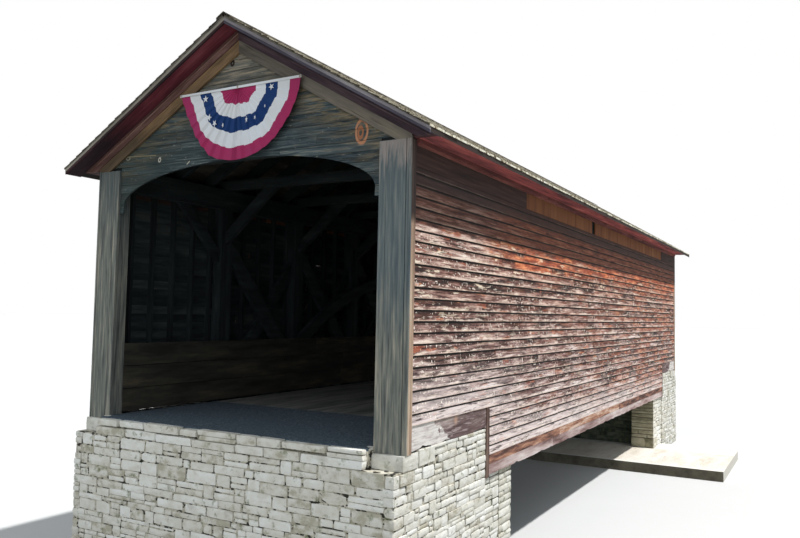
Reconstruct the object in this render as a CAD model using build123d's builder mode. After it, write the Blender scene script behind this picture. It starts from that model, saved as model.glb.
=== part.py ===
"""Covered timber bridge of one span on rubble stone abutments.

Units are millimetres. +Z is up, and the road runs along Y, with the near portal
at -Y. The origin is on the ground line under the middle of the bridge.
"""
import os
from math import cos, radians, tan

from build123d import *

os.makedirs("parts", exist_ok=True)

# Overall sizes
bridge_length = 16150.0     # from portal face to portal face
bridge_width = 4950.0       # over the siding
eave_height = 5386.0        # underside of the roof boards at the eave edge
roof_pitch = 30.0           # degrees
eave_overhang = 360.0
gable_overhang = 330.0

# Masonry
road_height = 2110.0        # top of the deck and of the filled abutments
seat_height = 1500.0        # where the trusses stand on the abutments
abutment_apron = 250.0      # masonry in front of each portal
near_abutment_length = 3120.0   # from the portal face to the river face
far_abutment_length = 2950.0
near_step = 2130.0          # from the portal face to the back of the seat
far_step = 1900.0
sill_drop = 30.0            # from the road to the masonry under the wall sills
pier_width = 600.0          # corner piers of the river faces
pier_depth = 450.0
pier_setback = 35.0         # behind the face of the siding that hangs past it
footing_height = 220.0
footing_front = 2160.0      # from the far river face into the river
footing_back = 960.0        # from the far river face under the abutment
footing_reach = 1850.0      # past the side walls
pad_height = 165.0
pad_reach = 80.0            # in front of the portal posts
pad_length = 350.0

# Side walls, from the outside to the inside
siding_thickness = 25.0
stud_depth = 80.0
post_depth = 180.0
arch_thickness = 90.0
wainscot_thickness = 25.0

# Boarding
board_exposure = 123.5      # clapboards
board_lap = 10.0            # how far a clapboard's butt stands out from its head
lower_courses = 5           # courses below the line of the portal sills
sill_plank_height = 270.0
skirt_height = 260.0
frieze_height = 256.0
trim_width = 90.0
trim_drop = 30.0
corner_return = 120.0       # depth of the corner post that shows beside the siding
wainscot_height = 930.0
wainscot_boards = 3
wainscot_gap = 20.0         # over the deck
groove = 8.0
stud_width = 50.0
stud_pitch = 400.0
first_stud = 500.0          # from the portal face
smallest_strip = 1.0        # clapboards lower than this are left off

# Trusses
panels = 6
chord_clearance = 6.0       # from the chord's end to the masonry behind it
post_width = 250.0
chord_height = 300.0
plate_height = 320.0
plate_drop = 206.0          # from the eave height to the underside of the plate
brace_foot = 300.0          # over the top of the lower chord
brace_head = 720.0          # under the upper plate
brace_depth = 320.0         # measured upright
counter_foot = 610.0
counter_head = 510.0
counter_depth = 370.0
truss_arch_rise = 2896.0    # from the seats to the top of the arch
arch_foot_gap = 21.5        # from the last floor beam to the foot of the arch
arch_depth = 220.0
end_knee_foot = 890.0       # knee brace of the portal bay, under the plate
end_knee_depth = 210.0

# Floor
deck_thickness = 60.0
deck_bearing = 130.0
floor_beam_width = 120.0
floor_beams_per_panel = 2

# Roof frame
tie_width = 150.0
tie_height = 140.0
knee_drop = 890.0           # from the tie to the foot of its knee brace
knee_run = 1025.0
knee_depth = 212.0
knee_thickness = 90.0
rafter_depth = 165.0
rafter_width = 80.0
rafters_per_panel = 3
roof_board_thickness = 50.0
shingle_thickness = 46.0
shingle_overhang = 15.0
soffit_thickness = 20.0
soffit_rise = 45.0          # from the underside of the roof's edge to the eave soffits
cap_width = 110.0
cap_thickness = 15.0

# Portals
portal_post_depth = 200.0
post_stand_out = 30.0       # in front of the gable boards
post_foot_drop = 55.0       # under the road
post_rise = 30.0            # over the eave height
gable_thickness = 30.0
header_height = 144.0
arch_ear = 70.0
ear_drop = 590.0            # under the top of the portal posts
ear_height = 104.0
arch_rise = 488.0
moulding_stand_out = 60.0
moulding_height = 133.0     # measured upright, as is the board's below
frieze_board_height = 155.0
fascia_thickness = 25.0
fascia_drop = 12.0

# Bunting
bunting_width = 1940.0
bunting_drop = 940.0
bunting_thickness = 40.0
bunting_shift = 42.0        # from the middle of the gable to the middle of the fan
soft_clearance = 0.3

# Places worked out from the sizes
half_length = bridge_length / 2
half_width = bridge_width / 2
eave_edge = half_width + eave_overhang
slope = tan(radians(roof_pitch))
board_rise = roof_board_thickness / cos(radians(roof_pitch))
shingle_rise = shingle_thickness / cos(radians(roof_pitch))
rafter_rise = rafter_depth / cos(radians(roof_pitch))

stud_face = half_width - siding_thickness
post_face = stud_face - stud_depth
arch_face = post_face - post_depth
wainscot_back = arch_face - arch_thickness
jamb = wainscot_back - wainscot_thickness

sill_ledge = road_height - sill_drop
post_foot = road_height - post_foot_drop
post_top = eave_height + post_rise
ear_foot = post_top - ear_drop
arch_spring = ear_foot + ear_height

chord_top = seat_height + chord_height
deck_base = road_height - deck_thickness
plate_base = eave_height - plate_drop
plate_top = plate_base + plate_height
chord_end = half_length - near_step - chord_clearance
truss_half = chord_end - post_width / 2
post_spacing = 2 * truss_half / panels
beam_pitch = post_spacing / floor_beams_per_panel
last_beam_face = truss_half - beam_pitch / 2 + floor_beam_width / 2
arch_half_span = last_beam_face + arch_foot_gap
arch_radius = (arch_half_span ** 2 + truss_arch_rise ** 2) / (2 * truss_arch_rise)
arch_crown = seat_height + truss_arch_rise
sill_top = sill_ledge + sill_plank_height
skirt_top = sill_top - lower_courses * board_exposure
skirt_base = skirt_top - skirt_height
frieze_base = eave_height - frieze_height
soffit_base = eave_height + soffit_rise
soffit_edge = eave_edge - soffit_rise / slope
portal_back = portal_post_depth - post_stand_out
wainscot_base = road_height + wainscot_gap

near_river_face = -half_length + near_abutment_length
far_river_face = half_length - far_abutment_length
near_seat_back = -half_length + near_step
far_seat_back = half_length - far_step
seat_side = half_width - pier_setback
lower_start = near_seat_back + trim_width
lower_end = far_seat_back - trim_width
siding_end = half_length - corner_return + post_stand_out


def roof_under(x):
    """Height of the underside of the roof boards over a place across the bridge."""
    return eave_height + (eave_edge - abs(x)) * slope


def block(x0, x1, y0, y1, z0, z1, mode=Mode.ADD):
    """A squared timber or stone between two opposite corners."""
    with Locations(((x0 + x1) / 2, (y0 + y1) / 2, (z0 + z1) / 2)):
        Box(x1 - x0, y1 - y0, z1 - z0, mode=mode)


def slab_along(plane, outline, thickness):
    """A flat piece with a straight-sided outline, cut from a plank."""
    with BuildSketch(plane) as section:
        Polygon(*outline, align=None)
    extrude(section.sketch, amount=thickness)


def across(y):
    """Plane square to the road at y, facing the far portal."""
    return Plane(origin=(0, y, 0), x_dir=(-1, 0, 0), z_dir=(0, 1, 0))


def other_side(source):
    """The same piece on the other side wall."""
    with BuildPart() as piece:
        mirror(source.part, about=Plane.YZ)
    return piece


def save(piece, name):
    """Labels a finished piece and writes its file."""
    piece.part.label = name
    export_step(piece.part, f"parts/{name}.step")


# Masonry: each abutment is filled to the road and stepped down at the truss seats

def abutment(end, step, length):
    """One abutment, with end -1 at the near portal and +1 at the far one."""
    outer = end * (half_length + abutment_apron)
    seat_back = end * (half_length - step)
    wall = end * (half_length - length + pier_depth)
    deck_stop = end * (half_length - step + deck_bearing)
    pad_stop = end * (half_length - pad_length + pad_reach)
    with BuildPart() as masonry:
        block(-half_width, half_width, *sorted((outer, seat_back)), 0, sill_ledge)
        block(-seat_side, seat_side, *sorted((seat_back, wall)), 0, seat_height)
        block(-jamb, jamb, *sorted((outer, deck_stop)), sill_ledge, road_height)
        block(-jamb, jamb, *sorted((deck_stop, seat_back)), deck_base, sill_ledge, mode=Mode.SUBTRACT)
        for side in (-1, 1):
            corner = sorted((side * jamb, side * half_width))
            block(*corner, *sorted((outer, pad_stop)), post_foot - pad_height, sill_ledge,
                  mode=Mode.SUBTRACT)
    return masonry


near_abutment = abutment(-1, near_step, near_abutment_length)
save(near_abutment, "near_abutment")

footing_rear = far_river_face + footing_back
with BuildPart() as far_abutment:
    add(abutment(1, far_step, far_abutment_length).part)
    block(-half_width, half_width, far_river_face, footing_rear, 0, footing_height, mode=Mode.SUBTRACT)
save(far_abutment, "far_abutment")

with BuildPart() as far_footing:
    footing_side = half_width + footing_reach
    block(-footing_side, footing_side, far_river_face - footing_front, footing_rear, 0, footing_height)
save(far_footing, "far_footing")

with BuildPart() as corner_piers:
    for side in (-1, 1):
        pier_x = sorted((side * (half_width - pier_width), side * seat_side))
        block(*pier_x, near_river_face - pier_depth, near_river_face, 0, seat_height)
        block(*pier_x, far_river_face, far_river_face + pier_depth, footing_height, seat_height)
save(corner_piers, "corner_piers")

with BuildPart() as post_pads:
    for side in (-1, 1):
        for end in (-1, 1):
            pad_x = sorted((side * jamb, side * half_width))
            front = end * (half_length + pad_reach)
            back = end * (half_length - pad_length + pad_reach)
            block(*pad_x, *sorted((front, back)), post_foot - pad_height, post_foot)
save(post_pads, "post_pads")


# Floor: chords on the seats, beams across them, planks along the road

with BuildPart() as lower_chords:
    for side in (-1, 1):
        chord_x = sorted((side * arch_face, side * post_face))
        block(*chord_x, -chord_end, chord_end, seat_height, chord_top)
save(lower_chords, "lower_chords")

with BuildPart() as floor_beams:
    beam_count = panels * floor_beams_per_panel
    for k in range(beam_count):
        y = (k - (beam_count - 1) / 2) * beam_pitch
        block(-post_face, post_face, y - floor_beam_width / 2, y + floor_beam_width / 2, chord_top, deck_base)
save(floor_beams, "floor_beams")

with BuildPart() as deck:
    block(-jamb, jamb, near_seat_back - deck_bearing, far_seat_back + deck_bearing, deck_base, road_height)
save(deck, "deck")


# Trusses: posts and crossed braces between the chords, with an arch on the inner face

post_places = [(k - panels / 2) * post_spacing for k in range(panels + 1)]

with BuildPart() as right_truss_posts:
    for y in post_places:
        block(arch_face, post_face, y - post_width / 2, y + post_width / 2, chord_top, plate_base)
save(right_truss_posts, "right_truss_posts")
save(other_side(right_truss_posts), "left_truss_posts")


def panel_brace(y_low, y_high, z_low, z_high, depth):
    """Outline of a brace that meets a post at y_low and rises to one at y_high."""
    return [(y_low, z_low), (y_high, z_high), (y_high, z_high + depth), (y_low, z_low + depth)]


brace_layer = post_depth / 2
with BuildPart() as right_braces:
    for k in range(panels):
        outer_y, inner_y = sorted((post_places[k], post_places[k + 1]), key=abs, reverse=True)
        lean = 1 if inner_y > outer_y else -1
        outline = panel_brace(outer_y + lean * post_width / 2, inner_y - lean * post_width / 2,
                              chord_top + brace_foot, plate_base - brace_head - brace_depth, brace_depth)
        slab_along(Plane.YZ.offset(post_face - brace_layer), outline, brace_layer)
save(right_braces, "right_braces")
save(other_side(right_braces), "left_braces")

with BuildPart() as right_counter_braces:
    for k in range(panels):
        outer_y, inner_y = sorted((post_places[k], post_places[k + 1]), key=abs, reverse=True)
        lean = 1 if inner_y > outer_y else -1
        outline = panel_brace(inner_y - lean * post_width / 2, outer_y + lean * post_width / 2,
                              chord_top + counter_foot, plate_base - counter_head - counter_depth,
                              counter_depth)
        slab_along(Plane.YZ.offset(arch_face), outline, brace_layer)
save(right_counter_braces, "right_counter_braces")
save(other_side(right_counter_braces), "left_counter_braces")

with BuildPart() as right_arch:
    with BuildSketch(Plane.YZ.offset(wainscot_back)):
        with Locations((0, arch_crown - arch_radius)):
            Circle(arch_radius)
            Circle(arch_radius - arch_depth, mode=Mode.SUBTRACT)
        with Locations((0, seat_height)):
            Rectangle(bridge_length, arch_crown, align=(Align.CENTER, Align.MIN), mode=Mode.INTERSECT)
    extrude(amount=arch_thickness)
save(right_arch, "right_arch")
save(other_side(right_arch), "left_arch")

with BuildPart() as top_plates:
    plate_end = half_length - portal_back
    for side in (-1, 1):
        plate_x = sorted((side * arch_face, side * post_face))
        block(*plate_x, -plate_end, plate_end, plate_base, plate_top)
save(top_plates, "top_plates")

with BuildPart() as end_knee_braces:
    knee_y = -truss_half - post_width / 2
    knee_z = plate_base - end_knee_foot
    knee_outline = [(knee_y, knee_z), (knee_y, knee_z + end_knee_depth),
                    (knee_y - end_knee_foot + end_knee_depth, plate_base), (knee_y - end_knee_foot, plate_base)]
    slab_along(Plane.YZ.offset(arch_face + brace_layer / 2), knee_outline, brace_layer)
    mirror(about=Plane.XZ)
    mirror(about=Plane.YZ)
save(end_knee_braces, "end_knee_braces")


# Side walls: studs, clapboards in laps, and the boards at their edges

def stud_places():
    """Where the wall studs stand along the bridge."""
    run = bridge_length - 2 * first_stud
    count = round(run / stud_pitch)
    return [first_stud - half_length + run * k / count for k in range(count + 1)]


with BuildPart() as right_wall_studs:
    for y in stud_places():
        on_abutment = y < near_seat_back + stud_width or y > far_seat_back - stud_width
        stud_foot = sill_ledge if on_abutment else seat_height
        block(post_face, stud_face, y - stud_width / 2, y + stud_width / 2, stud_foot, eave_height)
save(right_wall_studs, "right_wall_studs")
save(other_side(right_wall_studs), "left_wall_studs")


def lapped_outline(z_low, z_high):
    """Section of clapboards from a butt at z_low up to z_high."""
    head = half_width - board_lap
    points = [(stud_face, z_low)]
    z = z_low
    while z < z_high - smallest_strip:
        top = min(z + board_exposure, z_high)
        butt_fade = board_lap * (top - z) / board_exposure
        points.append((half_width, z))
        points.append((head + board_lap - butt_fade, top))
        z = top
    points.append((stud_face, z_high))
    return points


def lapped_wall(y0, y1, z_low, z_high):
    """Clapboards over one rectangle of the right wall."""
    outline = [(-x, z) for x, z in lapped_outline(z_low, z_high)]
    slab_along(across(y0), outline, y1 - y0)


with BuildPart() as right_siding:
    lapped_wall(-siding_end, siding_end, sill_top, frieze_base)
    lapped_wall(lower_start, lower_end, skirt_top, sill_top)
save(right_siding, "right_siding")
save(other_side(right_siding), "left_siding")

with BuildPart() as frieze_bands:
    for side in (-1, 1):
        band_x = sorted((side * stud_face, side * half_width))
        block(*band_x, -siding_end, siding_end, frieze_base, soffit_base)
save(frieze_bands, "frieze_bands")

with BuildPart() as skirt_boards:
    for side in (-1, 1):
        skirt_x = sorted((side * stud_face, side * half_width))
        block(*skirt_x, lower_start, lower_end, skirt_base, skirt_top)
save(skirt_boards, "skirt_boards")

with BuildPart() as sill_planks:
    for side in (-1, 1):
        sill_x = sorted((side * stud_face, side * half_width))
        block(*sill_x, -siding_end, near_seat_back, sill_ledge, sill_top)
        block(*sill_x, far_seat_back, siding_end, sill_ledge, sill_top)
save(sill_planks, "sill_planks")

with BuildPart() as step_trims:
    for side in (-1, 1):
        trim_x = sorted((side * stud_face, side * half_width))
        block(*trim_x, near_seat_back, lower_start, skirt_base - trim_drop, sill_top)
        block(*trim_x, lower_end, far_seat_back, skirt_base - trim_drop, sill_top)
save(step_trims, "step_trims")

with BuildPart() as right_wainscot:
    board = wainscot_height / wainscot_boards
    wainscot_end = half_length - portal_back
    block(jamb, wainscot_back, -wainscot_end, wainscot_end, wainscot_base, wainscot_base + wainscot_height)
    for k in range(1, wainscot_boards):
        joint = wainscot_base + k * board
        block(jamb, jamb + groove, -wainscot_end, wainscot_end, joint - groove / 2, joint + groove / 2,
              mode=Mode.SUBTRACT)
save(right_wainscot, "right_wainscot")
save(other_side(right_wainscot), "left_wainscot")


# Portals: corner posts, boarded gables with an arched opening, and a header behind

with BuildPart() as portal_posts:
    for side in (-1, 1):
        for end in (-1, 1):
            post_x = sorted((side * jamb, side * half_width))
            rebate_x = sorted((side * stud_face, side * half_width))
            front = end * (half_length + post_stand_out)
            back = end * (half_length - portal_back)
            block(*post_x, *sorted((front, back)), post_foot, post_top)
            block(*rebate_x, *sorted((end * siding_end, back)), post_foot, post_top, mode=Mode.SUBTRACT)
save(portal_posts, "portal_posts")


def gable(y, thickness):
    """Boarded gable over an elliptical arch with a square ear at each side."""
    with BuildPart() as wall:
        with BuildSketch(across(y)):
            Polygon((jamb, ear_foot), (jamb, post_top), (half_width, post_top),
                    (half_width, roof_under(half_width)), (0, roof_under(0)),
                    (-half_width, roof_under(half_width)), (-half_width, post_top),
                    (-jamb, post_top), (-jamb, ear_foot), align=None)
            with Locations((0, arch_spring)):
                Ellipse(jamb - arch_ear, arch_rise, mode=Mode.SUBTRACT)
                Rectangle(2 * (jamb - arch_ear), 2 * (arch_spring - ear_foot), mode=Mode.SUBTRACT)
        extrude(amount=thickness)
    return wall


save(gable(-half_length, gable_thickness), "near_gable")
save(gable(half_length - gable_thickness, gable_thickness), "far_gable")

with BuildPart() as portal_headers:
    for end in (-1, 1):
        header_y = sorted((end * (half_length - gable_thickness), end * (half_length - portal_back)))
        block(-stud_face, stud_face, *header_y, post_top, post_top + header_height)
save(portal_headers, "portal_headers")


# Roof frame: ties on the plates with knee braces, and rafters over them

with BuildPart() as tie_beams:
    for y in post_places:
        block(-post_face, post_face, y - tie_width / 2, y + tie_width / 2, plate_top, plate_top + tie_height)
save(tie_beams, "tie_beams")

knee_slope = knee_drop / knee_run
with BuildPart() as tie_knee_braces:
    knee_foot = plate_top - knee_drop
    upper_end = arch_face - (knee_drop - knee_depth) / knee_slope
    for side in (-1, 1):
        outline = [(-side * arch_face, knee_foot), (-side * arch_face, knee_foot + knee_depth),
                   (-side * upper_end, plate_top), (-side * (arch_face - knee_run), plate_top)]
        for y in post_places:
            slab_along(across(y - knee_thickness / 2), outline, knee_thickness)
save(tie_knee_braces, "tie_knee_braces")


def rafter_places():
    """Where the rafters stand: spaced clear of the ties, and one at each gable."""
    pitch = post_spacing / rafters_per_panel
    last = half_length - portal_back - rafter_width / 2
    places = [last]
    y = pitch / 2
    while y < last - rafter_width:
        places.append(y)
        y += pitch
    return [sign * y for sign in (-1, 1) for y in places]


seat_inner = (roof_under(0) - rafter_rise - plate_top) / slope
rafter_outline = [(0, roof_under(0)), (stud_face, roof_under(stud_face)),
                  (stud_face, roof_under(stud_face) - rafter_rise),
                  (post_face, roof_under(post_face) - rafter_rise), (post_face, plate_top),
                  (seat_inner, plate_top), (0, roof_under(0) - rafter_rise)]
with BuildPart() as right_rafters:
    for y in rafter_places():
        outline = [(-x, z) for x, z in rafter_outline]
        slab_along(across(y - rafter_width / 2), outline, rafter_width)
save(right_rafters, "right_rafters")
save(other_side(right_rafters), "left_rafters")


def roof_layer(x_low, base_rise, rise, y_end):
    """A layer of the right roof slope, from the ridge down to x_low."""
    low = roof_under(x_low) + base_rise
    high = roof_under(0) + base_rise
    outline = [(0, high), (-x_low, low), (-x_low, low + rise), (0, high + rise)]
    slab_along(across(-y_end), outline, 2 * y_end)


shingle_end = half_length + gable_overhang
fascia_front = shingle_end - shingle_overhang
fascia_back = fascia_front - fascia_thickness

with BuildPart() as right_roof_boards:
    roof_layer(eave_edge, 0, board_rise, fascia_back)
save(right_roof_boards, "right_roof_boards")
save(other_side(right_roof_boards), "left_roof_boards")

with BuildPart() as right_shingles:
    roof_layer(eave_edge + shingle_overhang, board_rise, shingle_rise, shingle_end)
save(right_shingles, "right_shingles")
save(other_side(right_shingles), "left_shingles")

with BuildPart() as ridge_cap:
    ridge = roof_under(0) + board_rise + shingle_rise
    cap_edge = ridge - cap_width * slope
    cap_rise = cap_thickness / cos(radians(roof_pitch))
    slab_along(across(-shingle_end),
               [(0, ridge), (cap_width, cap_edge), (cap_width, cap_edge + cap_rise), (0, ridge + cap_rise),
                (-cap_width, cap_edge + cap_rise), (-cap_width, cap_edge)], 2 * shingle_end)
save(ridge_cap, "ridge_cap")

with BuildPart() as right_rake_trim:
    fascia = [(0, roof_under(0) - fascia_drop), (-eave_edge, eave_height - fascia_drop),
              (-eave_edge, eave_height + board_rise), (0, roof_under(0) + board_rise)]
    moulding_foot = roof_under(0) - moulding_height
    moulding_end = soffit_edge - moulding_height / slope
    moulding = [(0, roof_under(0)), (-soffit_edge, soffit_base), (-moulding_end, soffit_base), (0, moulding_foot)]
    board_foot = moulding_foot - frieze_board_height
    level_cut = (board_foot - post_top) / slope
    board_outline = [(0, roof_under(0)), (-half_width, roof_under(half_width)), (-half_width, post_top),
                     (-level_cut, post_top), (0, board_foot)]
    slab_along(across(-fascia_front), fascia, fascia_thickness)
    slab_along(across(-half_length - moulding_stand_out), moulding, moulding_stand_out)
    slab_along(across(-half_length - post_stand_out), board_outline, post_stand_out)
    mirror(about=Plane.XZ)
save(right_rake_trim, "right_rake_trim")
save(other_side(right_rake_trim), "left_rake_trim")

with BuildPart() as eave_soffits:
    lip = soffit_edge - soffit_thickness / slope
    board_section = [(-stud_face, soffit_base), (-soffit_edge, soffit_base),
                     (-lip, soffit_base + soffit_thickness), (-stud_face, soffit_base + soffit_thickness)]
    end_section = [(-half_width, soffit_base), (-soffit_edge, soffit_base), (-half_width, roof_under(half_width))]
    slab_along(across(-siding_end), board_section, 2 * siding_end)
    slab_along(across(-half_length), end_section, half_length - siding_end)
    slab_along(across(siding_end), end_section, half_length - siding_end)
    mirror(about=Plane.YZ)
save(eave_soffits, "eave_soffits")


# Bunting: a half-round fan hung from the mouldings of the near gable

with BuildPart() as bunting:
    bunting_back = -half_length - moulding_stand_out - soft_clearance
    bunting_top = roof_under(bunting_width / 2 + bunting_shift) - moulding_height
    with BuildSketch(across(bunting_back - bunting_thickness)):
        with Locations((-bunting_shift, bunting_top)):
            Ellipse(bunting_width / 2, bunting_drop)
            Rectangle(bunting_width, bunting_drop, align=(Align.CENTER, Align.MIN), mode=Mode.SUBTRACT)
    extrude(amount=bunting_thickness)
save(bunting, "bunting")

print("ridge height", round(ridge + cap_rise), "length over the roof", round(2 * shingle_end))
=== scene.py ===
"""Looks of the covered bridge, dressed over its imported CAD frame. Metres, +Z up, the road along Y."""
import math
import random

import bmesh
import bpy
from mathutils import Matrix, Vector, noise


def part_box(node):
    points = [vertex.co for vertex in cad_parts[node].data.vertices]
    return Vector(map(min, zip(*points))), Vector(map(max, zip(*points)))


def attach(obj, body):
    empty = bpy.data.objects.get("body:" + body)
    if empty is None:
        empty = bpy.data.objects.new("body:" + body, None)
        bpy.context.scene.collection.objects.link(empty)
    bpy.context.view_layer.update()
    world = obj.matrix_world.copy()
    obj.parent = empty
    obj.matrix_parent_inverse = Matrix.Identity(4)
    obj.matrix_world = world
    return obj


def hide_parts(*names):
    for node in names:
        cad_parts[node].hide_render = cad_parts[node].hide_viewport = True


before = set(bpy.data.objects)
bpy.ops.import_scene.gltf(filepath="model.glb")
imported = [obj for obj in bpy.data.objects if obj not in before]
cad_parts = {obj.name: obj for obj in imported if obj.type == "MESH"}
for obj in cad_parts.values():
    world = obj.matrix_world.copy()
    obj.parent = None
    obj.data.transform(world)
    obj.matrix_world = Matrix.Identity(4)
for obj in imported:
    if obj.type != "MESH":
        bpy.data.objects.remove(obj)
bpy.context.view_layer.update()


# Places from the CAD frame

def corners(node):
    lo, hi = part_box(node)
    return Vector(lo), Vector(hi)


ABUT_LO, ABUT_HI = corners("near_abutment")
FAR_LO, FAR_HI = corners("far_abutment")
SIDING_LO, SIDING_HI = corners("right_siding")
FRIEZE_LO, FRIEZE_HI = corners("frieze_bands")
SKIRT_LO, SKIRT_HI = corners("skirt_boards")
SILL_LO, SILL_HI = corners("sill_planks")
POST_LO, POST_HI = corners("portal_posts")
DECK_LO, DECK_HI = corners("deck")
WAINSCOT_LO, WAINSCOT_HI = corners("right_wainscot")
BOARDS_LO, BOARDS_HI = corners("right_roof_boards")
SHINGLES_HI = corners("right_shingles")[1]
PIERS_HI = corners("corner_piers")[1]
PADS_LO, PADS_HI = corners("post_pads")
TRIM_LO, TRIM_HI = corners("step_trims")
GABLE_LO = corners("near_gable")[0]
BUNTING_LO, BUNTING_HI = corners("bunting")
RAKE_LO = corners("right_rake_trim")[0]
SOFFIT_LO, SOFFIT_HI = corners("eave_soffits")
FOOTING_LO, FOOTING_HI = corners("far_footing")

HALF_WIDTH = SIDING_HI.x
STUD_FACE = SIDING_LO.x
HALF_LENGTH = -GABLE_LO.y
JAMB = WAINSCOT_LO.x
EAVE = BOARDS_LO.z
EAVE_EDGE = BOARDS_HI.x
POST_TOP = POST_HI.z
ROAD = ABUT_HI.z
SEAT = PIERS_HI.z
PITCH = math.radians(30)
SLOPE = math.tan(PITCH)

# How far from the middle the siding steps up over each abutment, and where the abutments' piers face the river
SEAT_BACK, FAR_SEAT_BACK = 5.945, 6.175
RIVER, FAR_RIVER = 4.955, 5.125
PIER_DEPTH = 0.45
PIER_WIDTH = 0.6
FOOTING_TOP = 0.220
TRIM_WIDTH = 0.09
EXPOSURE = 0.1235
SIDES = (("right", 1), ("left", -1))
UP = (0, 0, 1)
ALONG = (0, 1, 0)


def roof_under(x):
    """Height of the roof boards' underside at a place across the bridge."""
    return EAVE + (EAVE_EDGE - abs(x)) * SLOPE


BOARD_RISE = BOARDS_HI.z - roof_under(0)

# Heights on the siding above which the eave's shadow is painted on, and above that charcoal, where the painted shade is
# deepest
SHADE_LINE = 4.53
CHARCOAL_LINE = 4.92


# Procedural materials. A colour of three numbers is sRGB in 0 to 255.

def linear(r, g, b):
    """An sRGB colour as linear values."""
    return tuple(((c / 255 + 0.055) / 1.055) ** 2.4 if c > 10 else c / 255 / 12.92 for c in (r, g, b)) + (1.0,)


class Wire:
    """A value in a material's nodes, which takes sums, products and abs()."""

    def __init__(self, graph, socket):
        self.graph = graph
        self.socket = socket

    def __add__(self, other):
        return self.graph.math("ADD", self, other)

    def __sub__(self, other):
        return self.graph.math("SUBTRACT", self, other)

    def __rsub__(self, other):
        return self.graph.math("SUBTRACT", other, self)

    def __mul__(self, other):
        return self.graph.math("MULTIPLY", self, other)

    def __truediv__(self, other):
        return self.graph.math("DIVIDE", self, other)

    def __abs__(self):
        return self.graph.math("ABSOLUTE", self)


class Graph:
    """Short names for the shader nodes of one material."""

    def __init__(self, name, rough=0.85):
        self.material = bpy.data.materials.new(name)
        self.material.use_nodes = True
        self.tree = self.material.node_tree
        self.shader = self.tree.nodes["Principled BSDF"]
        self.shader.inputs["Roughness"].default_value = rough
        self.shader.inputs["Specular IOR Level"].default_value = 0.25
        self.where = self.tree.nodes.new("ShaderNodeTexCoord").outputs["Object"]
        tone = self.tree.nodes.new("ShaderNodeAttribute")
        tone.attribute_name = "tone"
        self.tone = Wire(self, tone.outputs["Fac"])

    def put(self, socket, value):
        """Links a value to a socket, or sets the socket to a number or colour."""
        if isinstance(value, Wire):
            value = value.socket
        if isinstance(value, bpy.types.NodeSocket):
            self.tree.links.new(value, socket)
        else:
            socket.default_value = linear(*value) if isinstance(value, tuple) else value

    def math(self, how, a, b=0.0, clamp=False):
        node = self.tree.nodes.new("ShaderNodeMath")
        node.operation = how
        node.use_clamp = clamp
        self.put(node.inputs[0], a)
        self.put(node.inputs[1], b)
        return Wire(self, node.outputs[0])

    def most(self, a, b):
        return self.math("MAXIMUM", a, b)

    def below(self, a, b):
        return self.math("LESS_THAN", a, b)

    def part(self, axis):
        """A coordinate in metres."""
        node = self.tree.nodes.new("ShaderNodeSeparateXYZ")
        self.put(node.inputs[0], self.where)
        return Wire(self, node.outputs["XYZ".index(axis)])

    def turned(self, angle):
        """Coordinates turned about Y, for boards that follow a roof slope."""
        node = self.tree.nodes.new("ShaderNodeVectorRotate")
        node.rotation_type = "Y_AXIS"
        self.put(node.inputs["Vector"], self.where)
        node.inputs["Angle"].default_value = angle
        return node.outputs[0]

    def scaled(self, scale, vector, spread):
        """Coordinates scaled per axis, and shifted from board to board."""
        shift = self.tree.nodes.new("ShaderNodeCombineXYZ")
        for n, factor in enumerate((1.0, 2.3, 0.7)):
            self.put(shift.inputs[n], self.tone * (spread * factor))
        node = self.tree.nodes.new("ShaderNodeVectorMath")
        node.operation = "MULTIPLY_ADD"
        self.put(node.inputs[0], vector or self.where)
        node.inputs[1].default_value = scale if isinstance(scale, tuple) else (scale,) * 3
        self.put(node.inputs[2], shift.outputs[0])
        return node.outputs[0]

    def noise(self, scale, detail=4.0, rough=0.55, vector=None, spread=17.0):
        node = self.tree.nodes.new("ShaderNodeTexNoise")
        self.put(node.inputs["Vector"], self.scaled(scale, vector, spread))
        node.inputs["Scale"].default_value = 1.0
        node.inputs["Detail"].default_value = detail
        node.inputs["Roughness"].default_value = rough
        return Wire(self, node.outputs["Fac"])

    def span(self, value, low, high, to_low=0.0, to_high=1.0):
        """Maps low..high to to_low..to_high and stops there."""
        node = self.tree.nodes.new("ShaderNodeMapRange")
        for n, v in enumerate((value, low, high, to_low, to_high)):
            self.put(node.inputs[n], v)
        return Wire(self, node.outputs[0])

    def patches(self, scale, detail, rough, spread, low, high, amount=1.0, vector=None):
        """Where a noise passes a level, from 0 to amount."""
        return self.span(self.noise(scale, detail, rough, vector, spread), low, high, 0.0, amount)

    def ramp(self, value, *stops):
        """A colour from stops of (place, red, green, blue)."""
        node = self.tree.nodes.new("ShaderNodeValToRGB")
        self.put(node.inputs[0], value)
        line = node.color_ramp.elements
        while len(line) < len(stops):
            line.new(0.5)
        for stop, (place, *colour) in zip(line, stops):
            stop.position = place
            stop.color = linear(*colour)
        return Wire(self, node.outputs[0])

    def mix(self, factor, a, b, how="MIX"):
        node = self.tree.nodes.new("ShaderNodeMix")
        node.data_type = "RGBA"
        node.blend_type = how
        self.put(node.inputs[0], factor)
        self.put(node.inputs[6], a)
        self.put(node.inputs[7], b)
        return Wire(self, node.outputs[2])

    def bump(self, height, strength, depth):
        node = self.tree.nodes.new("ShaderNodeBump")
        node.inputs["Strength"].default_value = strength
        node.inputs["Distance"].default_value = depth
        self.put(node.inputs["Height"], height)
        self.put(self.shader.inputs["Normal"], node.outputs[0])

    def finish(self, colour):
        self.put(self.shader.inputs["Base Color"], colour)
        return self.material


def grain_scale(axis, along, across):
    return tuple(along if axis == a else across for a in "XYZ")


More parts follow.
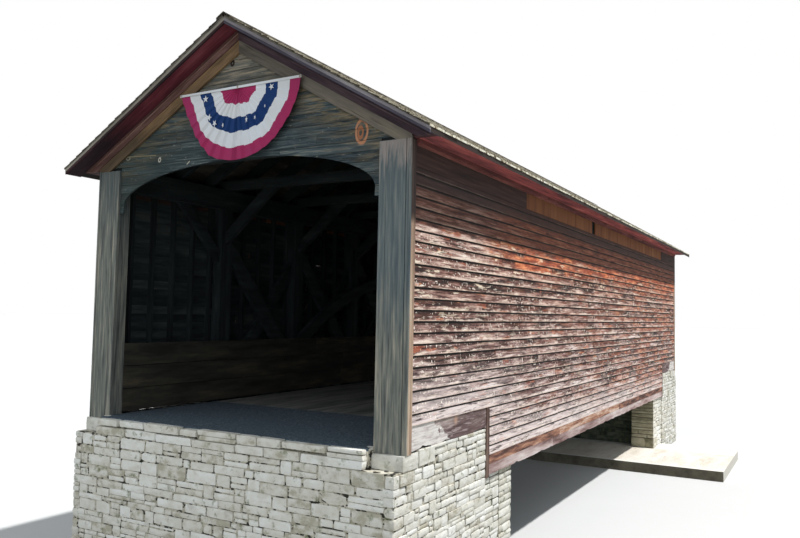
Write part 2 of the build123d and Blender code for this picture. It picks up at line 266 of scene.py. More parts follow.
def wood(name, axis, stops, crack=0.55, knots=0.0, angle=0.0, spots=None, past=(), broad=7.0, along=0.9, extra=None):
    """
    Weathered boards with their grain along one axis, turned by an angle for boards on a slope. spots gives the
    level and colour of patches, past the places beyond which the colour changes, and extra adds its own marks.
    """
    g = Graph(name)
    at = g.turned(angle) if angle else None
    grain = g.noise(grain_scale(axis, along, broad), 5.0, 0.6, at)
    fine = g.noise(grain_scale(axis, 5.0, 120.0), 3.0, 0.6, at)
    split = g.noise(grain_scale(axis, 1.6, 60.0), 2.0, 0.5, at)
    colour = g.ramp(g.span(grain, 0.28, 0.72) + (g.tone - 0.5) * 0.45 + (fine - 0.5) * 0.5, *stops)
    cracks = g.span(split, 0.66, 0.74, 0.0, crack)
    colour = g.mix(cracks, colour, (22, 18, 16))
    if spots:
        level, shade = spots
        patch = g.patches(grain_scale(axis, 2.2, 9.0), 3.0, 0.5, 41.0, level, level + 0.08, 0.85, at)
        colour = g.mix(patch, colour, shade)
    if knots:
        cell = g.tree.nodes.new("ShaderNodeTexVoronoi")
        cell.feature = "F1"
        g.put(cell.inputs["Vector"], g.scaled(grain_scale(axis, 1.6, 5.0), at, 29.0))
        cell.inputs["Scale"].default_value = 1.0
        colour = g.mix(g.span(cell.outputs["Distance"], knots, knots * 0.45, 0.0, 0.9), colour, (52, 34, 22))
    if extra:
        colour = extra(g, colour)
    for line, start, stop, shade, amount in past:
        colour = g.mix(g.span(abs(g.part(line)), start, stop, 0.0, amount), colour, shade)
    g.bump(fine * 0.6 + cracks * -1.6, 0.6, 0.003)
    return g.finish(colour)


def siding_wood():
    """Old red-brown clapboards: a painted eave shadow in charcoal and brick red under the eave, orange below, pale
    where paint has gone, and a painted shadow line under each lap.
    """
    g = Graph("old_clapboard", 0.82)
    height = g.part("Z")
    place = g.part("Y")
    course = g.math("FRACT", (height - SKIRT_HI.z) / EXPOSURE)
    low = g.span(height, SHADE_LINE, SEAT + 0.4)
    broad = g.noise((7.0, 0.9, 6.0), 6.0, 0.68)
    patch = g.noise((20.0, 1.6, 26.0), 5.0, 0.64, spread=5.0)
    fine = g.noise((90.0, 10.0, 170.0), 3.0, 0.6)

    # Bare wood: brown above, mauve below, paler towards the foot of each board and darker at its top, which is painted
    # highlight and painted shade, and a painted sunlit highlight near the portal end
    level = g.span(broad, 0.3, 0.7, 0.0, 0.56) + (g.tone - 0.5) * 0.24 + g.span(low, 0.0, 1.0, 0.02, 0.30)
    level = level + (patch - 0.5) * 2.5 + g.span(course, 0.8, 0.1, -0.14, 0.16) + (fine - 0.5) * 0.7
    sunny = g.span(place, -4.6, -6.2) * g.span(height, 3.9, 4.3)
    level = level + sunny * 0.24 + g.span(place, -1.0, 5.0, 0.0, -0.16) * g.span(height, 3.8, 2.8)
    brown = g.ramp(level, (0.0, 34, 22, 21), (0.28, 84, 56, 49), (0.5, 136, 101, 92), (0.75, 196, 164, 150),
                   (1.0, 240, 222, 208))
    mauve = g.ramp(level, (0.0, 38, 28, 28), (0.28, 86, 68, 66), (0.5, 142, 118, 114), (0.75, 200, 179, 173),
                   (1.0, 242, 230, 226))
    colour = g.mix(g.span(height, 3.6, 2.7), brown, mauve)

    # Orange paint, most of it in a band under the shade and towards the far end, and one newer board
    rust = g.noise((1.0, 0.9, 7.0), 4.0, 0.6, spread=4.0)
    under = g.span(height, 4.12, 4.36) * g.span(place, -6.4, -5.0)
    reach = g.most(under, g.span(place, -6.0, 6.0, 0.05, 0.6))
    warm = g.math("MULTIPLY", g.span(rust, 0.44, 0.56), reach, True)
    warm = g.most(warm, g.span(rust, 0.36, 0.48) * (under * 0.75))
    warm = g.most(warm, g.patches((1.0, 1.6, 9.0), 3.0, 0.6, 9.0, 0.62, 0.66) * 0.7)
    new_board = g.span(abs(height - 4.265), 0.056, 0.052) * g.span(abs(place + 4.15), 0.84, 0.80)
    warm = g.most(warm, new_board)
    fresh = g.ramp(g.noise((9.0, 2.2, 16.0), 4.0, 0.6, spread=13.0) + (fine - 0.5) * 0.4,
                   (0.34, 112, 54, 42), (0.5, 178, 98, 70), (0.66, 238, 164, 118))
    colour = g.mix(warm, colour, fresh)
    calm = 1.0 - warm * 0.8

    # Pale slivers along the boards' feet, peeled patches near the top, and bleached wood low down
    ends = course + (g.noise((9.0, 5.0, 9.0), 4.0, 0.6, spread=61.0) - 0.5) * 1.6
    sliver = g.span(ends, 0.30, 0.14) * g.patches((24.0, 3.4, 34.0), 4.0, 0.65, 62.0, 0.48, 0.58)
    sliver = sliver * g.span(height, SHADE_LINE + 0.05, SHADE_LINE - 0.1, 0.25, 0.8)
    colour = g.mix(sliver * calm, colour, (242, 220, 204))
    peel = g.patches((9.0, 1.9, 13.0), 6.0, 0.66, 71.0, 0.60, 0.635, 0.9)
    flake = g.ramp(g.noise((60.0, 14.0, 60.0), 3.0, 0.6), (0.35, 218, 192, 162), (0.6, 248, 236, 214))
    near_top = g.span(height, 3.4, 3.9, 0.35, 1.0) * g.span(height, 4.56, 4.48)
    colour = g.mix(peel * near_top, colour, flake)
    near_foot = g.span(height, 2.95, 2.4) * g.span(place, -4.4, -6.4)
    bleach = g.most(near_foot, g.span(height, 2.2, 1.9, 0.0, 0.95) * g.span(place, 4.0, -2.0, 0.45, 1.0))
    colour = g.mix(bleach * g.span(patch, 0.36, 0.58, 0.35, 0.95), colour, (234, 220, 216))

    # Small pale chips in clusters, and dark stains
    cluster = g.patches((3.0, 0.9, 3.5), 3.0, 0.6, 23.0, 0.38, 0.52)
    long_chip = g.patches((26.0, 6.0, 40.0), 5.0, 0.66, 37.0, 0.61, 0.64)
    tick = g.patches((30.0, 26.0, 18.0), 2.0, 0.5, 39.0, 0.635, 0.67)
    chips = g.most(long_chip, tick) * (cluster * g.span(low, 0.0, 0.1))
    colour = g.mix(chips * calm, colour, (248, 236, 222))
    stain = g.patches((18.0, 2.6, 30.0), 4.0, 0.6, 53.0, 0.58, 0.66, 0.8)
    colour = g.mix(stain, colour, (36, 24, 22))

    # Painted shadow of the eave over the upper courses, deepest and charcoal at the top
    shade = g.ramp(g.span(patch, 0.3, 0.7) + (fine - 0.5) * 0.8,
                   (0.1, 62, 38, 34), (0.5, 104, 68, 58), (0.9, 150, 106, 90))
    colour = g.mix(g.span(height, SHADE_LINE - 0.015, SHADE_LINE + 0.03, 0.0, 0.82), colour, shade)
    edge = height + (patch - 0.5) * 0.3
    colour = g.mix(g.span(edge, CHARCOAL_LINE - 0.04, CHARCOAL_LINE + 0.03, 0.0, 0.85), colour, (54, 45, 45))

    # Worn feet of the boards with a painted highlight, a painted shadow line under each lap, and a warm band
    worn = g.span(course, 0.13, 0.03) * g.span(patch, 0.4, 0.6, 0.0, 0.7)
    colour = g.mix(worn * g.span(height, 4.9, 4.4, 0.3, 1.0), colour, (214, 190, 170))
    colour = g.mix(g.span(course, 0.80, 0.85, 0.0, 0.98), colour, (12, 7, 7))
    glow = g.span(height, 3.95, 4.35) * g.span(place, -6.4, -4.6, 0.0, 0.8)
    colour = g.mix(glow, colour, (255, 232, 216), "MULTIPLY")
    g.bump(fine - stain, 0.6, 0.003)
    return g.finish(colour)


def stone(name, stops, moss, dirt, void_shade=0.0, shaded=None):
    """Rough stone, a different shade for each block, with dark spots of painted shade for deep voids where asked.
    Inside of shaded, across the bridge, the colour is darker: painted shade of the bridge.
    """
    g = Graph(name, 0.92)
    broad = g.noise((6.0, 6.0, 9.0), 5.0, 0.6, spread=31.0)
    grit = g.noise((60.0, 60.0, 90.0), 4.0, 0.6)
    level = g.span(broad, 0.3, 0.7, 0.1, 0.9) + (g.tone - 0.5) * 0.7
    colour = g.ramp(level + (grit - 0.5) * 0.3, *stops)
    colour = g.mix(g.patches((3.0, 3.0, 5.0), 4.0, 0.6, 3.0, 0.58, 0.72, dirt), colour, (128, 116, 92))
    colour = g.mix(g.patches(9.0, 4.0, 0.6, 7.0, 0.6 - moss * 0.2, 0.72, 0.8), colour, (104, 112, 70))
    # Dark spots on the joints are painted shade in deep voids
    if void_shade:
        colour = g.mix(g.patches((15.0, 15.0, 24.0), 2.0, 0.5, 11.0, 0.52, 0.56, void_shade), colour, (28, 26, 22))
    if shaded:
        # Painted shade of the bridge on the stone under it
        bridge_shade = g.ramp(level, (0.0, 112, 108, 86), (0.5, 152, 146, 122), (1.0, 178, 172, 148))
        colour = g.mix(g.span(abs(g.part("X")), shaded + 0.004, shaded - 0.004), colour, bridge_shade)
    g.bump(broad * 1.4 + grit * 0.5, 0.7, 0.014)
    return g.finish(colour)


def cloth(name, colour, worn):
    """Plain woven cotton."""
    g = Graph(name, 0.9)
    weave = g.noise(260.0, 2.0, 0.5, spread=0.0)
    shade = g.mix(g.patches(3.0, 3.0, 0.5, 0.0, 0.35, 0.7, 0.5), colour, worn)
    shade = g.mix(weave * 0.08, shade, (40, 36, 44))
    g.bump(weave, 0.25, 0.001)
    return g.finish(shade)


def ring_mark(g, colour, x, z, wide, high, thick, *shade):
    """An oval ring on the near gable, such as the edge of a knot or a washer."""
    dx = (g.part("X") - x) / wide
    dz = (g.part("Z") - z) / high
    off = g.math("SQRT", dx * dx + dz * dz)
    return g.mix(g.span(abs(off - 1.0), thick, thick * 0.5) * g.below(g.part("Y"), 0.0), colour, shade)


def line_mark(g, colour, x0, z0, x1, z1, thick, *shade):
    """A thin straight mark on the near gable."""
    along = (g.part("X") - x0) / (x1 - x0)
    off = g.part("Z") - z0 - along * (z1 - z0)
    line = g.span(abs(off), thick, thick * 0.4) * g.below(g.part("Y"), 0.0)
    return g.mix(line * g.below(abs(along - 0.5), 0.5), colour, shade)


def gable_stains(g, colour):
    """Tan wood near the roof, darker boards at the left, and the marks that show on the near gable."""
    drop = roof_under(0) - abs(g.part("X")) * SLOPE - g.part("Z")
    streak = g.noise((4.0, 4.0, 60.0), 5.0, 0.65, spread=19.0)
    tan = g.ramp(streak, (0.3, 74, 72, 60), (0.5, 126, 114, 90), (0.7, 172, 146, 112))
    near = g.span(drop, 0.9, 0.34) * g.patches((2.6, 2.6, 20.0), 4.0, 0.6, 31.0, 0.42, 0.52)
    colour = g.mix(near * 0.8, colour, tan)
    bare = g.ramp(g.noise((3.0, 3.0, 50.0), 5.0, 0.65, spread=23.0), (0.3, 84, 86, 82), (0.5, 140, 136, 124),
                  (0.7, 196, 178, 154))
    colour = g.mix(g.span(g.part("Z"), 6.2, 6.5, 0.0, 0.75), colour, bare)
    colour = g.mix(g.patches((1.6, 1.6, 12.0), 4.0, 0.6, 37.0, 0.46, 0.54, 0.5), colour, (40, 52, 58))
    left = g.span(g.part("X"), -0.3, -1.7, 0.0, 0.5) * g.below(g.part("Y"), 0.0)
    colour = g.mix(left, colour, (52, 62, 56))
    colour = g.mix(g.patches((14.0, 14.0, 44.0), 5.0, 0.65, 47.0, 0.64, 0.69, 0.7), colour, (168, 166, 150))
    for ring in ((1.815, 5.561, 0.075, 0.13, 0.22, 196, 138, 104), (1.80, 5.55, 0.03, 0.06, 0.5, 170, 112, 80),
                 (-1.35, 5.509, 0.020, 0.026, 0.45, 196, 190, 176), (-0.13, 6.63, 0.022, 0.028, 0.8, 44, 34, 28),
                 (-1.960, 5.578, 0.034, 0.020, 0.3, 160, 154, 136)):
        colour = ring_mark(g, colour, *ring)
    for line in ((-1.960, 5.598, -1.425, 5.580, 0.008, 150, 142, 116),
                 (-0.855, 5.408, -0.808, 5.448, 0.014, 190, 184, 168)):
        colour = line_mark(g, colour, *line)
    return colour


def post_stains_and_shade(g, colour):
    """Bluer wood half-way up the right corner posts with a pale head, and painted shade darkening the head of the left
    ones.
    """
    height = g.part("Z") + (g.noise((26.0, 26.0, 2.4), 4.0, 0.6, spread=0.0) - 0.5) * 1.4
    left = g.below(g.part("X"), 0.0)
    right = 1.0 - left
    colour = g.mix(g.span(abs(height - 4.5), 1.4, 0.5, 0.0, 0.5) * right, colour, (80, 100, 112))
    # Painted shade over the head of the left posts
    colour = g.mix(g.span(height, 4.3, 5.3, 0.0, 0.6) * left, colour, (72, 84, 88))
    return g.mix(g.span(height, 5.05, 5.3, 0.0, 0.7) * right, colour, (172, 160, 154))


def dark_corner(g, colour):
    """Deep shade colour at the near end of the left eave."""
    left = g.below(g.part("X"), 0.0) * g.span(g.part("Y"), -6.6, -7.5, 0.0, 0.85)
    return g.mix(left, colour, (32, 30, 32))


def peeled_paint(g, colour):
    """White paint left at the portal end of a sill plank, with a ragged edge to the bare brown wood."""
    height = g.part("Z")
    rag = g.noise((14.0, 9.0, 14.0), 6.0, 0.7, spread=0.0)
    edge = abs(g.part("Y")) - g.span(height, 2.10, 2.33, 7.08, 7.40)
    white = g.ramp(g.noise((20.0, 4.0, 26.0), 4.0, 0.6, spread=0.0), (0.3, 176, 166, 162), (0.5, 226, 220, 214),
                   (0.7, 242, 238, 232))
    colour = g.mix(g.span(edge + (rag - 0.5) * 0.9, -0.02, 0.03), colour, white)
    drip = g.span(abs(g.part("Y") + 6.87), g.span(height, 2.20, 2.33, 0.02, 0.10), 0.0) * g.span(rag, 0.38, 0.56)
    colour = g.mix(drip * g.span(height, 2.20, 2.27, 0.0, 0.6), colour, (222, 176, 146))
    return g.mix(g.patches((12.0, 3.0, 30.0), 5.0, 0.65, 5.0, 0.54, 0.64, 0.6), colour, (196, 178, 176))


def cast_concrete():
    """Cast concrete: white along the back of its top; beige and streaked in front, where painted shade stands in for a
    sloped face; a painted highlight along the front lip; painted shade down its front face.
    """
    g = Graph("cast_concrete", 0.92)
    place = g.part("Y")
    grit = g.noise(40.0, 4.0, 0.6)
    streak = g.noise((2.6, 0.7, 2.6), 5.0, 0.66)
    front, end = FOOTING_LO.y, FOOTING_HI.x
    # Beige: painted shade for a sloped face that gets less sun, with streaks and pits
    beige = g.ramp(streak + (grit - 0.5) * 0.2, (0.3, 200, 187, 168), (0.45, 220, 211, 197), (0.6, 232, 226, 215))
    beige = g.mix(g.patches(16.0, 3.0, 0.6, 5.0, 0.66, 0.70, 0.8), beige, (96, 88, 74))
    edge = place + (streak - 0.5) * 0.5
    colour = g.mix(g.span(edge, 5.15, 5.3), beige, g.ramp(grit, (0.3, 220, 217, 208), (0.6, 242, 240, 234)))
    # A painted highlight along the front lip
    colour = g.mix(g.span(edge, front + 0.16, front + 0.06, 0.0, 0.7), colour, (240, 238, 232))
    # Painted shade down the front face
    colour = g.mix(g.span(place, front + 0.008, front + 0.003), colour,
                   g.ramp(streak, (0.3, 84, 80, 70), (0.6, 126, 120, 104)))
    colour = g.mix(g.span(abs(g.part("X")), end - 0.010, end - 0.004), colour,
                   g.ramp(grit, (0.3, 196, 192, 182), (0.6, 226, 222, 212)))
    g.bump(grit, 0.6, 0.006)
    return g.finish(colour)


def shingle_butt():
    """Sawn shingle ends, brown in the joints and almost white on the faces."""
    g = Graph("shingle_butt")
    return g.finish(g.ramp(g.noise((9.0, 7.0, 9.0), 3.0, 0.8, spread=90.0), (0.40, 104, 90, 70),
                           (0.47, 212, 202, 176), (0.6, 248, 244, 228)))


def gravel():
    """Fine gravel, dark and blue-grey: a cool cast of painted shade."""
    g = Graph("packed_gravel", 0.95)
    grains = g.noise(42.0, 3.0, 0.8)
    g.bump(grains, 0.6, 0.006)
    colour = g.ramp(grains, (0.35, 36, 46, 54), (0.5, 70, 84, 96), (0.68, 140, 152, 160))
    return g.finish(g.mix(g.noise(1.4, 3.0), colour, (74, 86, 96)))


def brass():
    """Dull brass."""
    g = Graph("dull_brass", 0.5)
    g.shader.inputs["Metallic"].default_value = 0.8
    return g.finish(g.mix(g.noise(300.0, 2.0), (150, 130, 84), (110, 92, 60)))


SIDING = siding_wood()
GABLE = wood("gable_board", "X", ((0.0, 26, 33, 35), (0.35, 58, 70, 75), (0.62, 86, 98, 101), (0.85, 110, 117, 114),
             (1.0, 138, 136, 124)), 0.8, 0.03, spots=(0.68, (104, 98, 80)), broad=46.0, along=2.4, extra=gable_stains)
POST = wood("corner_post_board", "Z", ((0.0, 74, 76, 74), (0.4, 112, 115, 110), (0.7, 140, 140, 130),
            (1.0, 176, 168, 152)), 0.7, broad=30.0, along=1.6, extra=post_stains_and_shade)
# Frame timber: dark old wood with a cool blue-grey cast, which is painted shade inside the bridge
TIMBER = {axis: wood(f"frame_timber_{axis.lower()}", axis, ((0.0, 26, 32, 34), (0.5, 46, 53, 55), (1.0, 74, 80, 78)),
                     0.6) for axis in "YXZ"}
WAINSCOT = wood("wainscot_board", "Y", ((0.0, 40, 38, 34), (0.5, 66, 63, 55), (1.0, 106, 94, 72)), 0.6)
PLANK = wood("deck_plank", "Y", ((0.0, 78, 78, 76), (0.5, 110, 110, 106), (1.0, 140, 138, 132)), 0.7)
FRIEZE = wood("frieze_board", "Z", ((0.0, 108, 68, 48), (0.5, 138, 90, 60), (0.8, 148, 100, 68),
              (1.0, 160, 114, 80)), 0.5)
FRIEZE_DARK = wood("frieze_plank", "Y", ((0.0, 44, 33, 32), (0.5, 70, 52, 48), (1.0, 98, 72, 62)), 0.5, broad=24.0)
# Painted shade on the eave's end faces, beyond the ends of the siding
SHADED_EAVE_END = ("Y", SIDING_HI.y, SIDING_HI.y + 0.02, (46, 40, 44), 0.85)
SOFFIT = wood("soffit_board", "Y", ((0.0, 112, 64, 70), (0.5, 206, 112, 112), (1.0, 246, 178, 160)), 0.5,
              past=(SHADED_EAVE_END,), broad=6.0, along=0.6, extra=dark_corner)
BED = wood("eave_moulding", "Y", ((0.0, 70, 44, 46), (0.5, 118, 70, 68), (1.0, 160, 102, 94)), 0.5,
           past=(SHADED_EAVE_END,), extra=dark_corner)
# The outer face of the boards at the eave is painted dark: painted shade on old wood
ROOF_BOARD = wood("roof_board", "Y", ((0.0, 44, 44, 42), (0.5, 70, 66, 60), (1.0, 100, 90, 80)), 0.5,
                  past=(("X", EAVE_EDGE - 0.006, EAVE_EDGE - 0.002, (50, 40, 36), 0.9),), extra=dark_corner)
SKIRT = wood("skirt_board", "Y", ((0.0, 104, 78, 74), (0.35, 166, 140, 136), (0.7, 206, 188, 184),
             (1.0, 228, 216, 212)), 0.6)
SKIRT_TOP = wood("upper_skirt_board", "Y", ((0.0, 58, 40, 36), (0.3, 104, 74, 66), (0.5, 150, 106, 88),
                 (0.72, 188, 142, 116), (1.0, 220, 196, 180)), 0.7, broad=16.0, along=1.8)
SILL = wood("sill_board", "Y", ((0.0, 64, 48, 48), (0.45, 112, 92, 90), (0.8, 160, 144, 138),
            (1.0, 200, 186, 178)), 0.6, extra=peeled_paint)
EDGE_TRIM = wood("edge_trim", "Z", ((0.0, 60, 44, 40), (0.5, 104, 82, 74), (1.0, 150, 130, 116)), 0.6)
# The corner strips take a painted shadow of the eave from about 4.5 m up
CORNER = wood("corner_strip", "Z", ((0.0, 120, 96, 82), (0.5, 178, 150, 128), (1.0, 210, 190, 166)), 0.6,
              past=(("Z", 4.50, 4.62, (52, 44, 48), 0.85),))
SHINGLE = wood("wood_shingle", "X", ((0.0, 76, 70, 62), (0.4, 116, 110, 100), (0.7, 146, 140, 128),
               (1.0, 172, 164, 150)), 0.5, spots=(0.66, (104, 102, 74)),
               past=(("Y", SHINGLES_HI.y - 0.006, SHINGLES_HI.y - 0.003, (58, 52, 44), 0.8),))
BUTT = shingle_butt()
WALL_STONE = stone("rubble_stone", ((0.0, 186, 180, 162), (0.25, 220, 216, 204), (0.7, 236, 234, 226),
                   (1.0, 244, 243, 238)), 0.06, 0.35)
MORTAR = stone("lime_joint", ((0.0, 150, 143, 126), (0.5, 196, 190, 174), (1.0, 224, 219, 206)), 0.1, 0.5, 0.95)
# Dark stone under the bridge: mostly painted shade, with moss
SHADED_DAMP_STONE = stone("shaded_damp_stone", ((0.0, 40, 46, 40), (0.4, 66, 72, 62), (1.0, 98, 102, 88)), 0.3, 0.2)
PIER_STONE = stone("pier_stone", ((0.0, 186, 180, 162), (0.3, 214, 210, 196), (1.0, 240, 238, 230)), 0.06, 0.35,
                   shaded=PIERS_HI.x - 0.020)
GRAVEL = gravel()
FOOTING = cast_concrete()
PAD_STONE = stone("pad_stone", ((0.0, 186, 182, 168), (0.5, 216, 213, 202), (1.0, 234, 232, 224)), 0.1, 0.3)
CRIMSON = cloth("crimson_cotton", (178, 50, 100), (158, 62, 108))
WHITE = cloth("white_cotton", (238, 241, 246), (226, 224, 220))
NAVY = cloth("navy_cotton", (24, 58, 112), (36, 70, 124))
BRASS = brass()


# Meshes

def lengths(rng, total, low, high):
    """Random lengths that add up to a total."""
    parts = []
    left = total
    while left > high:
        parts.append(rng.uniform(low, high))
        left -= parts[-1]
    if left < low * 0.6 and parts:
        parts[-1] += left
    else:
        parts.append(left)
    return parts


class Shell:
    """Collects boards or blocks and makes one object of them."""

    def __init__(self, name, seed):
        self.name = name
        self.rng = random.Random(seed)
        self.points = []
        self.faces = []
        self.tones = []
        self.slots = []

    def loft(self, rings, tone, slot=0, inner=None):
        """Joins rings of points along a board, closed at both ends. inner is the slot of its last side."""
        start = len(self.points)
        count = len(rings[0])
        for ring in rings:
            self.points.extend(ring)
            self.tones.extend([tone] * count)
        for r in range(len(rings) - 1):
            for k in range(count):
                a = start + r * count + k
                b = start + r * count + (k + 1) % count
                self.faces.append((a, b, b + count, a + count))
                self.slots.append(inner if inner is not None and k == count - 1 else slot)
        last = start + (len(rings) - 1) * count
        self.faces.append(tuple(range(start + count - 1, start - 1, -1)))
        self.faces.append(tuple(range(last, last + count)))
        self.slots.extend([slot, slot])

    def prism(self, outline, y0, y1, tone, slot=0):
        """An outline in the XZ plane, drawn out along the road."""
        self.loft([[(x, y, z) for x, z in outline] for y in (y0, y1)], tone, slot)

    def box(self, x0, x1, y0, y1, z0, z1, tone, slot=0):
        self.prism([(x0, z0), (x1, z0), (x1, z1), (x0, z1)], y0, y1, tone, slot)

    def plank(self, start, along, length, up, height, out, thick, tone, slot=0, wander=0.0015, step=0.4, ragged=0.0):
        """A sawn board whose edges wander a little."""
        start, along, up, out = (Vector(v) for v in (start, along, up, out))
        count = max(1, round(length / step))
        seed = self.rng.uniform(0, 999)
        rings = []
        for n in range(count + 1):
            t = length * n / count
            w = [wander * 2 * noise.noise((t * 1.3, seed, k * 7.1)) for k in range(3)]
            if ragged:
                tear = noise.noise((t * 5.1, seed, 40.0)) + 0.5 * noise.noise((t * 17.0, seed, 60.0))
                w[0] += ragged * max(0.0, tear)
            foot = start + along * t + up * w[0]
            head = start + along * t + up * (height + w[1])
            rings.append([foot, foot + out * (thick + w[2]), head + out * (thick + w[2]), head])
        self.loft(rings, tone, slot)

    def row(self, start, total, short, long, gap, *board, **finish):
        """Planks of random length, end to end along the road. board is their up, height, out and thickness."""
        x, y, z = start
        for run in lengths(self.rng, total, short, long):
            self.plank((x, y + gap, z), ALONG, run - 2 * gap, *board, self.rng.random(), **finish)
            y += run

    def build(self, materials, *nodes, slot):
        """Makes the object, rides it on the body and lets it stand for CAD nodes."""
        mesh = bpy.data.meshes.new(self.name)
        mesh.from_pydata([tuple(p) for p in self.points], [], self.faces)
        mesh.attributes.new("tone", "FLOAT", "POINT").data.foreach_set("value", self.tones)
        for material in materials:
            mesh.materials.append(material)
        mesh.polygons.foreach_set("material_index", self.slots)
        mesh.update()
        work = bmesh.new()
        work.from_mesh(mesh)
        bmesh.ops.recalc_face_normals(work, faces=work.faces)
        work.to_mesh(mesh)
        work.free()
        piece = bpy.data.objects.new(self.name, mesh)
        bpy.context.scene.collection.objects.link(piece)
        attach(piece, "root")
        if nodes:
            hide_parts(*nodes)
        return piece


def repaint(material, *nodes):
    """Gives CAD nodes that keep their shape a better material."""
    for node in nodes:
        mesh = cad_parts[node].data
        mesh.materials.clear()
        mesh.materials.append(material)


# Side walls

def clapboards(side, sign):
    """Lapped boards: courses between the abutments up to the step, and courses of the full length above it."""
    shell = Shell(f"{side}_clapboards", 11 if sign > 0 else 12)
    rng = shell.rng
    end = SIDING_HI.y
    courses = []
    z = SKIRT_HI.z
    while z < SILL_HI.z - 0.01:
        courses.append((z, z + EXPOSURE, TRIM_WIDTH - SEAT_BACK, FAR_SEAT_BACK - TRIM_WIDTH))
        z += EXPOSURE
    z = SILL_HI.z
    while z < FRIEZE_LO.z - 0.01:
        courses.append((z, min(z + EXPOSURE, FRIEZE_LO.z), -end, end))
        z += EXPOSURE
    gap = 0.003
    head = HALF_WIDTH - 0.0125
    for z0, z1, y, stop in courses:
        for run in lengths(rng, stop - y, 2.2, 5.0):
            tone = rng.random()
            seed = rng.uniform(0, 999)
            lift = rng.choice((0.0, 0.0, 0.001, 0.003, 0.005))
            droop = rng.uniform(-0.003, 0.003)
            count = max(2, round(run / 0.3))
            rings = []
            for n in range(count + 1):
                t = n / count
                at = y + gap + (run - 2 * gap) * t
                w = 0.005 * noise.noise((at * 1.7, seed, 0.0)) + droop * (t - 0.5)
                chip = 0.010 * max(0.0, noise.noise((at * 6.0, seed, 9.0)) - 0.28)
                out = HALF_WIDTH + lift * (0.5 + noise.noise((at * 0.9, seed, 5.0)))
                foot = z0 + w + chip
                rings.append([(sign * STUD_FACE, at, foot), (sign * out, at, foot),
                              (sign * head, at, z1 + 0.004), (sign * STUD_FACE, at, z1 + 0.004)])
            shell.loft(rings, tone, 0, 1)
            y += run
    shell.build([SIDING, TIMBER["Y"]], f"{side}_siding", slot="siding_board")


for side, sign in SIDES:
    clapboards(side, sign)

# Where one upright board is missing from the right wall's frieze
MISSING, MISSING_END = -0.93, -0.70


def frieze():
    """A dark plank near the portal, then short upright boards, then dark planks to the far end."""
    shell = Shell("frieze_planks", 21)
    rng = shell.rng
    z0, z1 = FRIEZE_LO.z, FRIEZE_HI.z
    for _, sign in SIDES:
        x = sign * STUD_FACE
        out = (sign, 0, 0)
        y = FRIEZE_LO.y
        for length, upright in ((3.45, False), (10.5, True), (2.02, False)):
            if not upright:
                length = min(length, FRIEZE_HI.y - y)
                shell.plank((x, y + 0.002, z0 + 0.001), ALONG, length - 0.004, UP, z1 - z0 - 0.001, out, 0.024,
                            rng.random(), 0)
                y += length
                continue
            stop = y + length
            while y < stop - 0.02:
                width = min(rng.uniform(0.20, 0.36), stop - y)
                hole = sign > 0 and abs(y - MISSING) < 0.001
                if hole:
                    width = MISSING_END - y
                else:
                    if sign > 0 and y < MISSING < y + width:
                        width = MISSING - y
                    shell.plank((x, y + 0.001, z0), UP, z1 - z0, ALONG, width - 0.002, out,
                                0.021 + rng.uniform(-0.001, 0.001), rng.uniform(0.25, 0.75), 1)
                y += width
    shell.build([FRIEZE_DARK, FRIEZE], "frieze_bands", slot="siding_board")


frieze()

skirt = Shell("skirt_planks", 31)
for _, sign in SIDES:
    for rise, height, thick, ragged, layer in ((0.0, 0.142, 0.020, 0.03, 0), (0.138, 0.122, 0.024, 0.004, 1)):
        skirt.row((sign * STUD_FACE, SKIRT_LO.y, SKIRT_LO.z + rise), SKIRT_HI.y - SKIRT_LO.y, 2.6, 5.4, 0.002,
                  UP, height, (sign, 0, 0), thick, slot=layer, wander=0.002, step=0.09, ragged=ragged)
skirt.build([SKIRT, SKIRT_TOP], "skirt_boards", slot="siding_board")

sills = Shell("sill_boards", 41)
for _, sign in SIDES:
    for y0, y1 in ((SILL_LO.y, -SEAT_BACK), (FAR_SEAT_BACK, SILL_HI.y)):
        sills.plank((sign * STUD_FACE, y0 + 0.001, SILL_LO.z), ALONG, y1 - y0 - 0.002,
                    UP, SILL_HI.z - SILL_LO.z - 0.004, (sign, 0, 0), 0.013, 0.42 if sign > 0 else 0.3,
                    0, 0.002, 0.07, 0.035)
sills.build([SILL], "sill_planks", slot="siding_board")

trims = Shell("step_boards", 51)
for _, sign in SIDES:
    for y0 in (-SEAT_BACK, FAR_SEAT_BACK - TRIM_WIDTH):
        for shift, width, thick, tone in ((0.0, 0.042, 0.025, 0.7), (0.047, 0.043, 0.022, 0.2)):
            trims.plank((sign * STUD_FACE, y0 + shift, TRIM_LO.z), UP, TRIM_HI.z - TRIM_LO.z, ALONG, width,
                        (sign, 0, 0), thick, tone)
trims.build([EDGE_TRIM], "step_trims", slot="siding_board")

for side, sign in SIDES:
    boards = Shell(f"{side}_wainscot_boards", 61 if sign > 0 else 62)
    height = (WAINSCOT_HI.z - WAINSCOT_LO.z) / 3
    for k in range(3):
        boards.row((sign * WAINSCOT_HI.x, WAINSCOT_LO.y, WAINSCOT_LO.z + k * height + 0.004),
                   WAINSCOT_HI.y - WAINSCOT_LO.y, 3.0, 5.5, 0.002, UP, height - 0.008, (-sign, 0, 0), 0.024)
    boards.build([WAINSCOT], f"{side}_wainscot", slot="frame_timber")


# Portals

ARCH_FOOT = 4.826
ARCH_SPRING = 4.930
ARCH_RISE = 0.488
ARCH_HALF = 2.005


def arch_height(x):
    """Underside of the gable at a place across the portal."""
    if abs(x) >= ARCH_HALF:
        return ARCH_FOOT
    return ARCH_SPRING + ARCH_RISE * math.sqrt(1 - (x / ARCH_HALF) ** 2)


